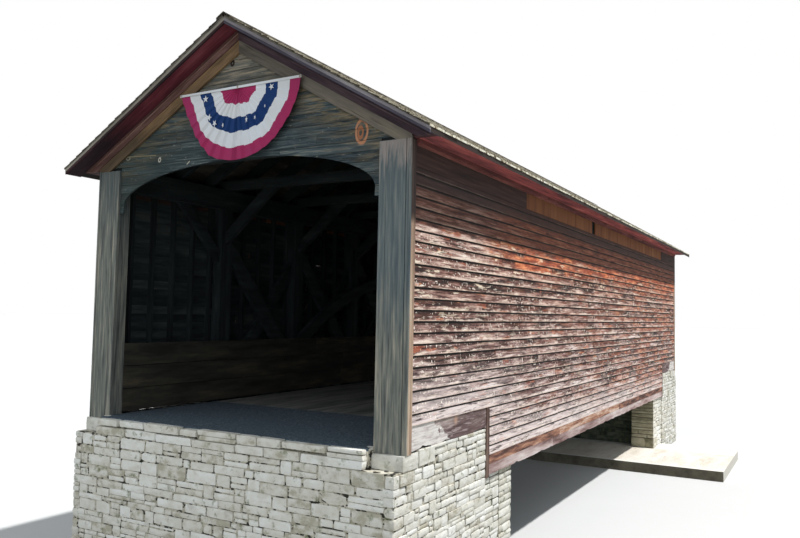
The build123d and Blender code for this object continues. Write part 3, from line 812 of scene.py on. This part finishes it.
def gable_boards(end):
    """Lapped boards cut to the roof slope and to the arch."""
    name = "near" if end < 0 else "far"
    shell = Shell(f"{name}_gable_boards", 71 if end < 0 else 72)
    rng = shell.rng
    back = end * (HALF_LENGTH - 0.030)
    jog = 0.0005    # half the width of the step where the arch ends
    z = ARCH_FOOT
    while z < roof_under(0) - 0.02:
        height = rng.uniform(0.112, 0.15)
        top = z + height
        limit = JAMB if z + height * 0.5 < POST_TOP else HALF_WIDTH
        xs = [limit * (-1 + 2 * n / 240) for n in range(241)]
        xs = sorted(xs + [s * (ARCH_HALF + j) for s in (-1, 1) for j in (-jog, jog)])
        runs = [[]]
        for x in (x for x in xs if abs(x) <= limit):
            low, high = max(z, arch_height(x)), min(top + 0.004, roof_under(x))
            if high - low > 0.002:
                runs[-1].append((x, low, high))
            elif runs[-1]:
                runs.append([])
        for run in (r for r in runs if len(r) > 1):
            pieces = [run]
            if len(run) > 150 and rng.random() < 0.6:
                cut = rng.randint(50, len(run) - 50)
                pieces = [run[:cut], [(run[cut - 1][0] + 0.004,) + run[cut - 1][1:]] + run[cut:]]
            for piece in pieces:
                tone = rng.random()
                seed = rng.uniform(0, 999)
                rings = []
                for x, low, high in piece:
                    butt = end * (HALF_LENGTH + 0.0015 * noise.noise((x, seed, 3.0)))
                    outer_low, outer_high = (butt - end * 0.010 * ((place - z) / height) for place in (low, high))
                    if low <= z + 1e-6:
                        low += 0.004 * noise.noise((x * 2.1, seed, 0.0))
                    rings.append([(x, back, low), (x, outer_low, low), (x, outer_high, high), (x, back, high)])
                shell.loft(rings, tone, 0, 1)
        z = top
    shell.build([GABLE, TIMBER["X"]], f"{name}_gable", slot="portal_board")


gable_boards(-1)
gable_boards(1)

posts = Shell("corner_post_boards", 81)
POST_FRONT = HALF_LENGTH + 0.030
rise = POST_TOP - POST_LO.z
for _, sx in SIDES:
    for sy in (1, -1):
        def board(x, y, along, width, out, thick, tone, slot, wander):
            """An upright board of the post, with x and y counted outwards from the bridge's middle."""
            posts.plank((sx * x, sy * y, POST_LO.z), UP, rise, along, width, out, thick, tone, slot, wander)
            return y - (width + 0.004)

        x0, x1 = sorted((sx * (JAMB + 0.004), sx * (HALF_WIDTH - 0.030)))
        y0, y1 = sorted((sy * (POST_HI.y - 0.200), sy * (POST_FRONT - 0.022)))
        posts.box(x0, x1, y0, y1, POST_LO.z, POST_TOP, 0.1)
        for x0, x1, thick, tone in ((JAMB, JAMB + 0.088, 0.021, 0.62), (JAMB + 0.092, JAMB + 0.335, 0.023, 0.48),
                                    (JAMB + 0.341, JAMB + 0.368, 0.017, 0.7), (JAMB + 0.372, HALF_WIDTH, 0.022, 0.38)):
            board(x0, POST_FRONT - 0.022, (sx, 0, 0), x1 - x0, (0, sy, 0), thick, tone + 0.04 * sx, 0, 0.001)
        y = POST_FRONT - 0.024
        for width, tone in ((0.052, 0.8), (0.040, 0.35)):
            y = board(HALF_WIDTH - 0.024, y, (0, -sy, 0), width, (sx, 0, 0), 0.023, tone, 1, 0.001)
        y = POST_FRONT - 0.024
        for width, tone in ((0.084, 0.2), (0.088, 0.5)):
            y = board(JAMB + 0.004, y, (0, -sy, 0), width, (-sx, 0, 0), 0.004, tone, 0, 0.0005)
posts.build([POST, CORNER], "portal_posts", slot="portal_board")

# Stops of the fascia, its foot painted dark as shade, the moulding, the rake board and the soffit at each side
RAKE_WOODS = {
    "right": (((0.0, 102, 96, 100), (0.5, 146, 140, 144), (1.0, 180, 174, 172)),
              ((0.0, 46, 44, 54), (0.5, 84, 80, 92), (1.0, 116, 110, 120)),
              ((0.0, 44, 36, 44), (0.5, 78, 62, 70), (1.0, 112, 94, 98)),
              ((0.0, 92, 86, 78), (0.5, 126, 118, 108), (1.0, 154, 142, 122)),
              ((0.0, 50, 36, 46), (0.5, 88, 62, 74), (1.0, 120, 92, 98))),
    "left": (((0.0, 110, 104, 92), (0.5, 152, 146, 134), (1.0, 184, 178, 164)),
             ((0.0, 28, 22, 26), (0.5, 52, 34, 38), (1.0, 78, 52, 54)),
             ((0.0, 66, 44, 42), (0.5, 110, 80, 74), (1.0, 164, 130, 122)),
             ((0.0, 104, 84, 62), (0.5, 152, 124, 92), (1.0, 180, 152, 116)),
             ((0.0, 54, 30, 36), (0.5, 112, 48, 60), (1.0, 146, 78, 88))),
}
DARK_BOARD_END = (("X", 1.55, 1.80, (64, 56, 48), 0.7),)
# Painted shade darkening the rake soffits towards the eaves
SHADED_SOFFIT_END = (("X", 1.35, 2.15, (26, 26, 32), 0.9),)
FASCIA_FRONT = -RAKE_LO.y
RIDGE = roof_under(0)
MOULDING = 0.133
BOARD_FOOT = RIDGE - MOULDING - 0.155


def band(sign, top0, foot0, top1, foot1):
    """A strip up one slope between two lines, each given by its height in the middle and its end at the eave."""
    return [(0, top0), (sign * foot0[0], foot0[1]), (sign * foot1[0], foot1[1]), (0, top1)]


for side, sign in SIDES:
    fascia_wood, shaded_foot_wood, moulding_wood, board_wood, soffit_wood = (
        wood(f"{side}_{name}", "X", stops, crack, angle=-PITCH * sign, past=past)
        for stops, (name, crack, past) in zip(RAKE_WOODS[side], (
            ("fascia_board", 0.5, ()), ("fascia_shaded_foot", 0.5, ()), ("moulding_board", 0.5, ()),
            ("rake_board", 0.6, DARK_BOARD_END if sign < 0 else ()), ("rake_soffit_board", 0.5, SHADED_SOFFIT_END))))
    fascia = Shell(f"{side}_rake_fascia", 91)
    mouldings = Shell(f"{side}_rake_moulding", 92)
    boards = Shell(f"{side}_rake_boards", 93)
    soffits = Shell(f"{side}_rake_soffits", 94)
    for end in (-1, 1):
        wall = end * HALF_LENGTH
        # The lowest strip of the fascia takes slot 1, painted darker as shade
        for z0, z1, back, slot in ((-0.012, 0.021, 0.003, 1), (0.021, BOARD_RISE, 0.0, 0)):
            fascia.prism(band(sign, RIDGE + z0, (EAVE_EDGE, EAVE + z0), RIDGE + z1, (EAVE_EDGE, EAVE + z1)),
                         end * (FASCIA_FRONT - 0.025), end * (FASCIA_FRONT - back), 0.5 + 0.2 * end, slot)
        for drop0, drop1, stand, tone in ((0.0, 0.040, 0.060, 0.1), (0.040, 0.058, 0.052, 1.0),
                                          (0.058, MOULDING, 0.043, 0.35)):
            foot0, foot1 = ((SOFFIT_HI.x - drop / SLOPE, SOFFIT_LO.z) for drop in (drop0, drop1))
            mouldings.prism(band(sign, RIDGE - drop0, foot0, RIDGE - drop1, foot1), wall,
                            end * (HALF_LENGTH + stand), tone)
        level_cut = (BOARD_FOOT - POST_TOP) / SLOPE
        boards.prism([(0, RIDGE - 0.1), (sign * HALF_WIDTH, roof_under(HALF_WIDTH) - 0.1),
                      (sign * HALF_WIDTH, POST_TOP), (sign * level_cut, POST_TOP), (0, BOARD_FOOT)],
                     wall, end * POST_FRONT, 0.5 + 0.3 * end)
        y = HALF_LENGTH + 0.062
        for width, tone in ((0.11, 0.55), (0.115, 0.8)):
            soffits.prism(band(sign, RIDGE, (EAVE_EDGE, EAVE), RIDGE - 0.010, (EAVE_EDGE, EAVE - 0.010)),
                          end * y, end * min(y + width - 0.003, FASCIA_FRONT - 0.026), tone)
            y += width
    fascia.build([fascia_wood, shaded_foot_wood], f"{side}_rake_trim", slot="portal_board")
    mouldings.build([moulding_wood], slot="portal_board")
    boards.build([board_wood], slot="portal_board")
    soffits.build([soffit_wood], slot="red_board")


# Roof

# How much of each course of shingles shows
SHOWN = 0.145

for side, sign in SIDES:
    # Directions up the slope and out of it
    up = Vector((-sign * math.cos(PITCH), 0, math.sin(PITCH)))
    out = Vector((sign * math.sin(PITCH), 0, math.cos(PITCH)))
    boards = Shell(f"{side}_sheathing", 101 if sign > 0 else 102)
    end = BOARDS_HI.y
    slope_length = EAVE_EDGE / math.cos(PITCH)
    s = 0.0
    while s < slope_length - 0.03:
        width = min(boards.rng.uniform(0.17, 0.26), slope_length - s)
        face, thick = (UP, BOARD_RISE - 0.001) if s == 0.0 else (out, 0.049)
        boards.row(Vector((sign * EAVE_EDGE, -end, EAVE)) + up * s, 2 * end, 3.0, 5.5, 0.001, up, width - 0.005,
                   face, thick, wander=0.0005, step=2.0)
        s += width
    boards.build([ROOF_BOARD], f"{side}_roof_boards", slot="red_board")

    tiles = Shell(f"{side}_shingle_courses", 103 if sign > 0 else 104)
    rng = tiles.rng
    foot = Vector((sign * SHINGLES_HI.x, 0, roof_under(SHINGLES_HI.x) + BOARD_RISE))
    run_up = SHINGLES_HI.x / math.cos(PITCH)
    end = SHINGLES_HI.y
    low, high = foot + up * 0.012, foot + up * 0.012 + up * (run_up - 0.016)
    tiles.loft([[p + Vector((0, y, 0)) for p in (low, high, high + out * 0.028, low + out * 0.006)]
                for y in (0.012 - end, end - 0.012)], 0.2)
    s = 0.0
    while s < run_up - 0.05:
        y = -end
        doubled = s == 0.0
        # The shingles' top stands 22 mm over the boards at the eave and 44 mm at the ridge
        level = 0.022 + 0.022 * s / run_up
        reach = min(SHOWN * 1.3, run_up - s)
        while y < end - 0.03:
            width = min(rng.uniform(0.09, 0.19), end - y)
            if end - y - width < 0.05:
                width = end - y
            tone = rng.random()
            ragged = rng.uniform(0.0, 0.012) if doubled else rng.uniform(-0.008, 0.008)
            butt = level + rng.uniform(-0.005, 0.001)
            curl = rng.choice((0.0, 0.0, 0.0, 0.001))
            near = foot + up * (s + ragged) + Vector((0, y + 0.002, 0))
            rings = []
            for point in (near, near + Vector((0, width - 0.004, 0))):
                low, high = point + out * (butt - 0.014), point + out * (butt + curl)
                if doubled:
                    low, high = point, point + Vector((0, 0, butt / math.cos(PITCH)))
                back = point + up * reach
                rings.append([high, back + out * (level - 0.014), back + out * (level - 0.021), low])
            tiles.loft(rings, tone, 0, 1)
            y += width
        s += SHOWN
    tiles.build([SHINGLE, BUTT], f"{side}_shingles", slot="shingle")

repaint(SHINGLE, "ridge_cap")
repaint(SOFFIT, "eave_soffits")

bed = Shell("eave_mouldings", 105)
for _, sign in SIDES:
    for z, high, thick in ((EAVE - 0.028, 0.032, 0.018), (EAVE + 0.004, 0.040, 0.036)):
        bed.row((sign * HALF_WIDTH, -FRIEZE_HI.y, z), 2 * FRIEZE_HI.y, 3.0, 5.0, 0.001, UP, high, (sign, 0, 0), thick,
                wander=0.0005)
bed.build([BED], slot="red_board")


# Floor and frame

planks = Shell("deck_planks", 111)
x = -DECK_HI.x
while x < DECK_HI.x - 0.02:
    width = min(planks.rng.uniform(0.19, 0.27), DECK_HI.x - x)
    y = DECK_LO.y
    for run in lengths(planks.rng, DECK_HI.y - DECK_LO.y, 3.5, 6.0):
        thick = DECK_HI.z - DECK_LO.z - 0.001 - planks.rng.uniform(0, 0.003)
        planks.plank((x + 0.002, y + 0.002, DECK_LO.z), ALONG, run - 0.004, (1, 0, 0), width - 0.006, UP, thick,
                     planks.rng.random(), 0, 0.0008, 1.0)
        y += run
    x += width
planks.build([PLANK], "deck", slot="deck_plank")

repaint(TIMBER["Y"], "lower_chords", "top_plates", "right_braces", "left_braces", "right_counter_braces",
        "left_counter_braces", "right_arch", "left_arch", "end_knee_braces")
repaint(TIMBER["X"], "floor_beams", "tie_beams", "tie_knee_braces", "right_rafters", "left_rafters", "portal_headers")
repaint(TIMBER["Z"], "right_truss_posts", "left_truss_posts", "right_wall_studs", "left_wall_studs")


# Masonry

def block_template(cuts):
    """Points and faces of a cube with each face cut into cuts by cuts squares."""
    index = {}
    faces = []
    for axis in range(3):
        for side in (0, cuts):
            def corner(i, j):
                key = [0, 0, 0]
                key[axis], key[(axis + 1) % 3], key[(axis + 2) % 3] = side, i, j
                return index.setdefault(tuple(key), len(index))

            grid = [[corner(i, j) for j in range(cuts + 1)] for i in range(cuts + 1)]
            for i in range(cuts):
                for j in range(cuts):
                    quad = (grid[i][j], grid[i + 1][j], grid[i + 1][j + 1], grid[i][j + 1])
                    faces.append(quad if side else quad[::-1])
    return [Vector(2 * c / cuts - 1 for c in key) for key in index], faces


BLOCK_POINTS, BLOCK_FACES = block_template(3)

# Depth of the facing stones, and how far the core stays behind their faces
DEPTH = 0.13
INSET = 0.022

# Top of an abutment's sides, the lower top and length of their outer ends, and the long block between the two
LEDGE = 2.080
NOTCH = 1.890
NOTCH_LENGTH = 0.52
LONG_BLOCK = 0.385

# Half widths of the kerbs along the road and of the wall between two piers, and half the length of a post's pad
KERB = 0.064
RIVER_WALL = 1.87
PAD = 0.175


def add_stone(shell, centre, half, rough=0.12, edge=None, slot=0):
    """One rubble stone: a block with worn edges and an uneven face, which stays over the ground."""
    rng = shell.rng
    edge = edge or rng.uniform(7.0, 16.0)
    seed = Vector([rng.uniform(0, 99) for _ in range(3)])
    lean = [rng.uniform(-0.10, 0.10) for _ in range(3)]
    small = min(half)
    start = len(shell.points)
    for p in BLOCK_POINTS:
        inset = 1 - max(abs(c) for c in p) / sum(abs(c) ** edge for c in p) ** (1 / edge)
        q = Vector(p[k] * (1 - inset * min(1.0, 2.4 * small / half[k])) for k in range(3))
        q = Vector((q.x + lean[0] * q.z * 0.3, q.y + lean[1] * q.z * 0.3, q.z * (1 + lean[2] * (q.x + q.y) * 0.5)))
        spot = Vector(q[k] * half[k] for k in range(3))
        dent = noise.noise(spot * 7.0 + seed) * 0.7 + noise.noise(spot * 22.0 + seed) * 0.3
        spot -= spot.normalized() * max(0.0, dent + 0.25) * rough * small
        place = centre + spot
        place.z = max(place.z, 0.001)
        shell.points.append(place)
    shell.tones.extend([rng.random()] * len(BLOCK_POINTS))
    shell.faces.extend(tuple(start + k for k in face) for face in BLOCK_FACES)
    shell.slots.extend([slot] * len(BLOCK_FACES))


def rubble(shell, origin, along, normal, width, height, low, high, short, long, depth=DEPTH, top=None, slot=0):
    """Courses of stones over one face of a wall. top gives the wall's height at a place along it."""
    rng = shell.rng
    origin, along, normal = Vector(origin), Vector(along), Vector(normal)
    bed = 0.0
    course = 0

    def bed_line(level, number, u):
        """The beds between courses rise and fall, except at the wall's foot and top."""
        if number == 0 or level >= height:
            return level
        return (level + 0.3 * low * noise.noise((u * 2.3, number * 5.7, width))
                + 0.3 * low * noise.noise((u * 0.7, number * 3.1, width)))

    while bed < height - 0.02:
        rise = min(rng.uniform(low, high), height - bed)
        if height - bed - rise < low * 0.6:
            rise = height - bed
        u = 0.0
        for run in lengths(rng, width, short, long):
            middle = u + run / 2
            z = bed_line(bed, course, middle)
            tall = min(bed_line(bed + rise, course + 1, middle), top(middle) if top else height) - z
            parts = [(0.0, tall)] if tall > 0.03 else []
            if tall > 0.12 and rng.random() < 0.4:
                cut = tall * rng.uniform(0.35, 0.65)
                parts = [(0.0, cut), (cut, tall)]
            for a, b in parts:
                thick = depth * rng.uniform(0.85, 1.1)
                back = rng.uniform(0.0, 0.016)
                centre = origin + along * middle + Vector((0, 0, z + (a + b) / 2)) - normal * (thick / 2 + back)
                gap = rng.uniform(0.0, 0.005) + (rng.uniform(0.004, 0.018) if rng.random() < 0.22 else 0.0)
                half = Vector((*(abs(along[k]) * (run / 2 - gap) + abs(normal[k]) * thick / 2 for k in (0, 1)),
                               (b - a) / 2 - gap * 0.7))
                add_stone(shell, centre, half, slot=slot)
            u += run
        bed += rise
        course += 1


def abutment_stones(name, end, lo, hi, step, river, footing):
    """Facing stones on a dark core, with gravel over the fill."""
    outer = max(abs(lo.y), abs(hi.y))
    wall = river + PIER_DEPTH
    front = outer - DEPTH
    core = Shell(f"{name}_abutment_core", 121)
    # Slot 2 is stone in painted shade under the bridge
    for x, a, b, z0, z1, slot in (
            (HALF_WIDTH - INSET, step + 0.02, outer - INSET, 0, NOTCH, 0),
            (HALF_WIDTH - INSET, step + 0.02, outer - NOTCH_LENGTH, NOTCH - 0.001, LEDGE - 0.012, 0),
            (PIERS_HI.x - INSET, wall + INSET, step + 0.03, footing, SEAT - 0.012, 2),
            (JAMB, step + 0.13, front + 0.03, LEDGE - 0.3, ROAD - 0.03, 0),
            (JAMB - 0.004, step + 0.134, front + 0.028, ROAD - 0.04, ROAD - 0.003, 1)):
        core.box(-x, x, *sorted((end * a, end * b)), z0, z1, 0.5, slot)
    core.build([MORTAR, GRAVEL, SHADED_DAMP_STONE], slot="stone")

    stones = Shell(f"{name}_abutment_stones", 131 if end < 0 else 132)
    kerb_length = front - PADS_HI.y + 0.1
    away, inwards = (0, end, 0), (0, -end, 0)
    for _, sx in SIDES:
        add_stone(stones, Vector((sx * (JAMB - KERB), end * (front - kerb_length / 2), (NOTCH + ROAD) / 2)),
                  Vector((KERB, kerb_length / 2, (ROAD - NOTCH) / 2 - 0.003)), 0.05, 24.0)
        rubble(stones, (sx * HALF_WIDTH, end * outer, 0), inwards, (sx, 0, 0), outer - step, LEDGE,
               0.05, 0.14, 0.10, 0.40, top=lambda u: NOTCH if u < NOTCH_LENGTH + LONG_BLOCK else LEDGE)
        block_y = end * (outer - NOTCH_LENGTH - LONG_BLOCK / 2)
        add_stone(stones, Vector((sx * (HALF_WIDTH - DEPTH / 2), block_y, (NOTCH + LEDGE) / 2)),
                  Vector((DEPTH / 2, LONG_BLOCK / 2 - 0.002, (LEDGE - NOTCH) / 2 - 0.004)), 0.06, 30.0)
        rubble(stones, (sx * PIERS_HI.x, end * step, footing), inwards, (sx, 0, 0), step - wall, SEAT - footing,
               0.06, 0.15, 0.14, 0.36)
    # The river wall between the piers takes slot 1, stone in painted shade under the bridge
    for x, y, z, out, height, *sizes, depth, slot in (
            (HALF_WIDTH - DEPTH, outer, 0, away, NOTCH, 0.06, 0.16, 0.12, 0.5, DEPTH, 0),
            (JAMB, outer, NOTCH, away, ROAD - NOTCH - 0.004, 0.08, 0.11, 0.3, 0.7, DEPTH, 0),
            (HALF_WIDTH - DEPTH, step, SEAT, inwards, 0.545, 0.1, 0.2, 0.2, 0.6, DEPTH * 0.9, 0),
            (RIVER_WALL, wall, footing, inwards, SEAT - footing, 0.07, 0.17, 0.14, 0.5, DEPTH, 1)):
        rubble(stones, (-x, end * y, z), (1, 0, 0), out, 2 * x, height, *sizes, depth, slot=slot)
    stones.build([WALL_STONE, SHADED_DAMP_STONE], f"{name}_abutment", slot="stone")


abutment_stones("near", -1, ABUT_LO, ABUT_HI, SEAT_BACK, RIVER, 0.0)
abutment_stones("far", 1, FAR_LO, FAR_HI, FAR_SEAT_BACK, FAR_RIVER, FOOTING_TOP)

piers = Shell("corner_pier_stones", 141)
for _, sx in SIDES:
    for river, out, foot in ((-RIVER, 1, 0.0), (FAR_RIVER, -1, FOOTING_TOP)):
        z = foot
        while z < SEAT - 0.02:
            rise = min(piers.rng.uniform(0.20, 0.26) if z == foot else piers.rng.uniform(0.055, 0.12), SEAT - z)
            if SEAT - z - rise < 0.045:
                rise = SEAT - z
            cut = piers.rng.choice((0.3, 0.4, 0.6, 0.7))
            x0, x1 = HALF_WIDTH - PIER_WIDTH, PIERS_HI.x
            split_x = piers.rng.random() < 0.35
            spread = 0.01 if z == foot else 0.0
            for a, b in ((0.0, cut), (cut, 1.0)):
                bx0, bx1, by0, by1 = x0, x1, PIER_DEPTH * a, PIER_DEPTH * b
                if split_x:
                    bx0, bx1, by0, by1 = x0 + (x1 - x0) * a, x0 + (x1 - x0) * b, 0.0, PIER_DEPTH
                centre = Vector((sx * (bx0 + bx1) / 2, river - out * (by0 + by1) / 2, z + rise / 2))
                half = Vector(((bx1 - bx0) / 2 - 0.003, (by1 - by0) / 2 - 0.003, rise / 2 - 0.003))
                add_stone(piers, centre, half + Vector((spread, spread, 0)), 0.05, 14.0)
            z += rise
piers.build([PIER_STONE], "corner_piers", slot="stone")

pads = Shell("post_pad_stones", 151)
pad_half = Vector(((HALF_WIDTH - JAMB) / 2, PAD, (PADS_HI.z - PADS_LO.z) / 2))
for _, sx in SIDES:
    for sy in (1, -1):
        add_stone(pads, Vector((sx * (JAMB + HALF_WIDTH) / 2, sy * (PADS_HI.y - PAD), (PADS_LO.z + PADS_HI.z) / 2)),
                  pad_half, 0.05, 24.0)
pads.build([PAD_STONE], "post_pads", slot="stone")

repaint(FOOTING, "far_footing")


# Bunting

# Reaches of the colour bands' edges at the sides and straight down, and of the outline by angle
ACROSS = (0.0, 0.31, 0.47, 0.665, 0.85, 1.0)
DOWN = (0.0, 0.235, 0.42, 0.615, 0.82, 1.0)
OUTLINE = ((0.0, 1.0), (0.2, 0.95), (0.5, 0.935), (0.75, 0.97), (1.1, 1.035), (1.57, 1.0), (1.95, 0.975),
           (2.45, 0.945), (2.75, 0.96), (math.pi, 1.0))

# How far the cloth hangs aside and down from its solid
ASIDE = 0.012
DROP = 0.014
CENTRE = Vector(((BUNTING_LO.x + BUNTING_HI.x) / 2 + ASIDE, (BUNTING_LO.y + BUNTING_HI.y) / 2, BUNTING_HI.z - DROP))
FAN_X = (BUNTING_HI.x - BUNTING_LO.x) / 2
FAN_Z = BUNTING_HI.z - BUNTING_LO.z - DROP
PLEATS = 17
SKEW = 0.045
CREASE = 1.50
STEPS = 460
RINGS = 3

# Angle, reach, width against height, and size of each star
STARS = ((0.20, 0.575, 1.0, 1.0), (0.66, 0.60, 0.95, 1.0), (0.88, 0.58, 0.8, 1.0), (1.12, 0.54, 0.55, 0.7),
         (1.87, 0.50, 0.45, 0.9), (2.12, 0.53, 0.6, 0.6), (2.50, 0.54, 0.5, 0.5), (2.98, 0.56, 1.0, 0.9))


def outline_reach(angle):
    """How far the hung cloth reaches at an angle, against a half oval."""
    for (a, low), (b, high) in zip(OUTLINE, OUTLINE[1:]):
        if angle <= b:
            return low + (high - low) * (angle - a) / (b - a)
    return OUTLINE[-1][1]


def saw(t):
    """One sharp pleat: a slow rise and a quick fall."""
    t = t % 1.0
    return t / 0.78 if t < 0.78 else (1 - t) / 0.22


def fan_point(angle, reach):
    """A point of the pleated cloth, at reach 0 to 1 from the middle of its top edge."""
    turn = angle / math.pi * PLEATS
    droop = math.sin(angle)
    fold = saw(turn + 0.2 * noise.noise((turn * 0.7, 3.0, 0.0))) - 0.5
    depth = 0.030 * fold * min(1.0, 0.25 + reach) * (0.2 + 0.8 * droop)
    depth -= 0.014 * reach * math.exp(-((angle - CREASE) / 0.025) ** 2)
    sway = 0.008 * noise.noise((angle * 3.0, reach * 4.0, 8.0)) * reach
    sag = (1.0 + 0.012 * fold * droop) * (1.0 + (outline_reach(angle) - 1.0) * reach)
    sag *= 1.0 + 0.15 * (1.0 - reach) * math.sin(2 * angle) ** 2
    fall = droop * reach * sag
    return Vector((-math.cos(angle) * FAN_X * reach * sag + SKEW * fall, -depth - sway, -FAN_Z * fall)) * 0.985 + CENTRE


def band_reach(angle, level, share):
    """How far out a place in band number level lies. The bands' edges step a little from pleat to pleat."""
    droop = math.sin(angle)
    turn = angle / math.pi * PLEATS
    step = 0.016 * noise.noise((math.floor(turn) * 3.3, 1.7, 0.4)) + 0.030 * noise.noise((turn * 0.6, 1.7, 5.4))
    near, far = (ACROSS[k] * (1 - droop) + DOWN[k] * droop + (step if 0 < k < 5 else 0) for k in (level, level + 1))
    return near + (far - near) * share


fan = Shell("bunting_fan", 161)
rows = 5 * RINGS + 1
for n in range(STEPS + 1):
    angle = math.pi * n / STEPS
    for r in range(rows):
        reach = max(0.004, band_reach(angle, r // RINGS, r % RINGS / RINGS)) if r < rows - 1 else 1.0
        fan.points.append(fan_point(angle, reach))
        if n < STEPS and r < rows - 1:
            i = n * rows + r
            fan.faces.append((i, i + 1, i + rows + 1, i + rows))
            fan.slots.append((0, 1, 2, 1, 0)[r // RINGS])
fan.tones = [0.5] * len(fan.points)
fan_piece = fan.build([CRIMSON, WHITE, NAVY], "bunting", slot="bunting_cloth")

stars = Shell("bunting_stars", 171)
for n, (angle, reach, wide, size) in enumerate(STARS):
    middle = fan_point(angle, reach)
    front = CENTRE.y - 0.022 * min(1.0, 0.25 + reach) * (0.35 + 0.65 * math.sin(angle)) - 0.003
    ring = []
    for k in range(10):
        arm = size * (0.048 if k % 2 == 0 else 0.019)
        turn = math.pi * k / 5 + 0.3 * n
        ring.append(Vector((middle.x + wide * arm * math.sin(turn), front,
                            min(middle.z + arm * math.cos(turn), CENTRE.z - 0.012))))
    ring.append(Vector((middle.x, front - 0.001, middle.z)))
    start = len(stars.points)
    stars.points.extend(ring + [p + Vector((0, 0.003, 0)) for p in ring])
    for k in range(10):
        a, b = start + k, start + (k + 1) % 10
        stars.faces.extend([(a, b, start + 10), (b + 11, a + 11, start + 21), (a, a + 11, b + 11, b)])
stars.tones = [0.5] * len(stars.points)
stars.slots = [0] * len(stars.faces)
star_piece = stars.build([WHITE], slot="bunting_cloth")

hem = Shell("bunting_hem", 181)
hem.plank((CENTRE.x - FAN_X, CENTRE.y - 0.012, CENTRE.z - 0.030), (1, 0, 0), 2 * FAN_X, UP, 0.030, ALONG, 0.006, 0.5, 0,
          0.0012, 0.06)
hem_piece = hem.build([WHITE], slot="bunting_cloth")

eyes = Shell("bunting_eyelets", 182)
for x in (CENTRE.x - FAN_X + 0.018, CENTRE.x, CENTRE.x + FAN_X - 0.018):
    for k in range(12):
        eyes.loft([[(x + radius * math.cos(turn), CENTRE.y - ahead, CENTRE.z - 0.015 + radius * math.sin(turn))
                    for radius, ahead in ((0.007, 0.0145), (0.012, 0.0145), (0.012, 0.011), (0.007, 0.011))]
                   for turn in (math.tau * k / 12, math.tau * (k + 1) / 12)], 0.5)
eye_piece = eyes.build([BRASS], slot="bunting_cloth")


# Stage, light and camera

def seen_directly(tree):
    """1 where the camera, a reflection or clear glass shows the surface, and 0 for the light it sends on."""
    path = tree.nodes.new("ShaderNodeLightPath")
    seen = path.outputs["Is Camera Ray"]
    for name in ("Is Glossy Ray", "Is Transmission Ray"):
        most = tree.nodes.new("ShaderNodeMath")
        most.operation = "MAXIMUM"
        tree.links.new(seen, most.inputs[0])
        tree.links.new(path.outputs[name], most.inputs[1])
        seen = most.outputs[0]
    return seen


bpy.ops.mesh.primitive_plane_add(size=600)
floor = bpy.context.object
floor.name = "floor"
g = Graph("pale_floor", 0.95)
shown = g.mix(g.noise(0.6, 2.0), (206, 206, 204), (210, 210, 208))
floor.data.materials.append(g.finish(g.mix(seen_directly(g.tree), (128, 128, 122), shown)))

sun = bpy.data.lights.new("sun", "SUN")
sun.energy = 3.9
sun.angle = math.radians(2.0)
sun_object = bpy.data.objects.new("sun", sun)
sun_object.rotation_euler = Vector((0.39, 0.10, 0.92)).to_track_quat("Z", "Y").to_euler()
bpy.context.scene.collection.objects.link(sun_object)

# A sky that is stronger in front of the near portal than behind it, and white where it is seen directly
world = bpy.data.worlds.new("studio")
bpy.context.scene.world = world
world.use_nodes = True
tree = world.node_tree
sky = tree.nodes["Background"]
sky.inputs["Color"].default_value = (0.90, 0.97, 1.04, 1.0)
towards = tree.nodes.new("ShaderNodeSeparateXYZ")
tree.links.new(tree.nodes.new("ShaderNodeTexCoord").outputs["Generated"], towards.inputs[0])
front = tree.nodes.new("ShaderNodeMapRange")
for n, v in enumerate((0.1, -1.0, 0.44, 1.05)):
    front.inputs[n + 1].default_value = v
tree.links.new(towards.outputs["Y"], front.inputs[0])
tree.links.new(front.outputs[0], sky.inputs["Strength"])
backdrop = tree.nodes.new("ShaderNodeBackground")
backdrop.inputs["Color"].default_value = (1, 1, 1, 1)
backdrop.inputs["Strength"].default_value = 1.0
both = tree.nodes.new("ShaderNodeMixShader")
for n, socket in enumerate((seen_directly(tree), sky.outputs[0], backdrop.outputs[0])):
    tree.links.new(socket, both.inputs[n])
tree.links.new(both.outputs[0], tree.nodes["World Output"].inputs["Surface"])

# The camera as fitted to the photograph
yaw, pitch, roll = (math.radians(v) for v in (-29.549, 3.464, 1.114))
forward = Vector((math.sin(yaw) * math.cos(pitch), math.cos(yaw) * math.cos(pitch), math.sin(pitch)))
level = Vector((math.cos(yaw), -math.sin(yaw), 0))
upright = level.cross(forward)
right = level * math.cos(roll) + upright * math.sin(roll)
top = upright * math.cos(roll) - level * math.sin(roll)
camera_data = bpy.data.cameras.new("camera")
camera_data.sensor_width = 36
camera_data.lens = 748.4 * 36 / 800
camera_data.clip_start = 0.1
camera_data.clip_end = 1000
camera = bpy.data.objects.new("camera", camera_data)
turn = Matrix((right, top, -forward)).transposed().to_4x4()
camera.matrix_world = Matrix.Translation((6.2819, -15.0218, 3.53)) @ turn
bpy.context.scene.collection.objects.link(camera)
bpy.context.scene.camera = camera
bpy.context.scene.view_settings.view_transform = "Standard"
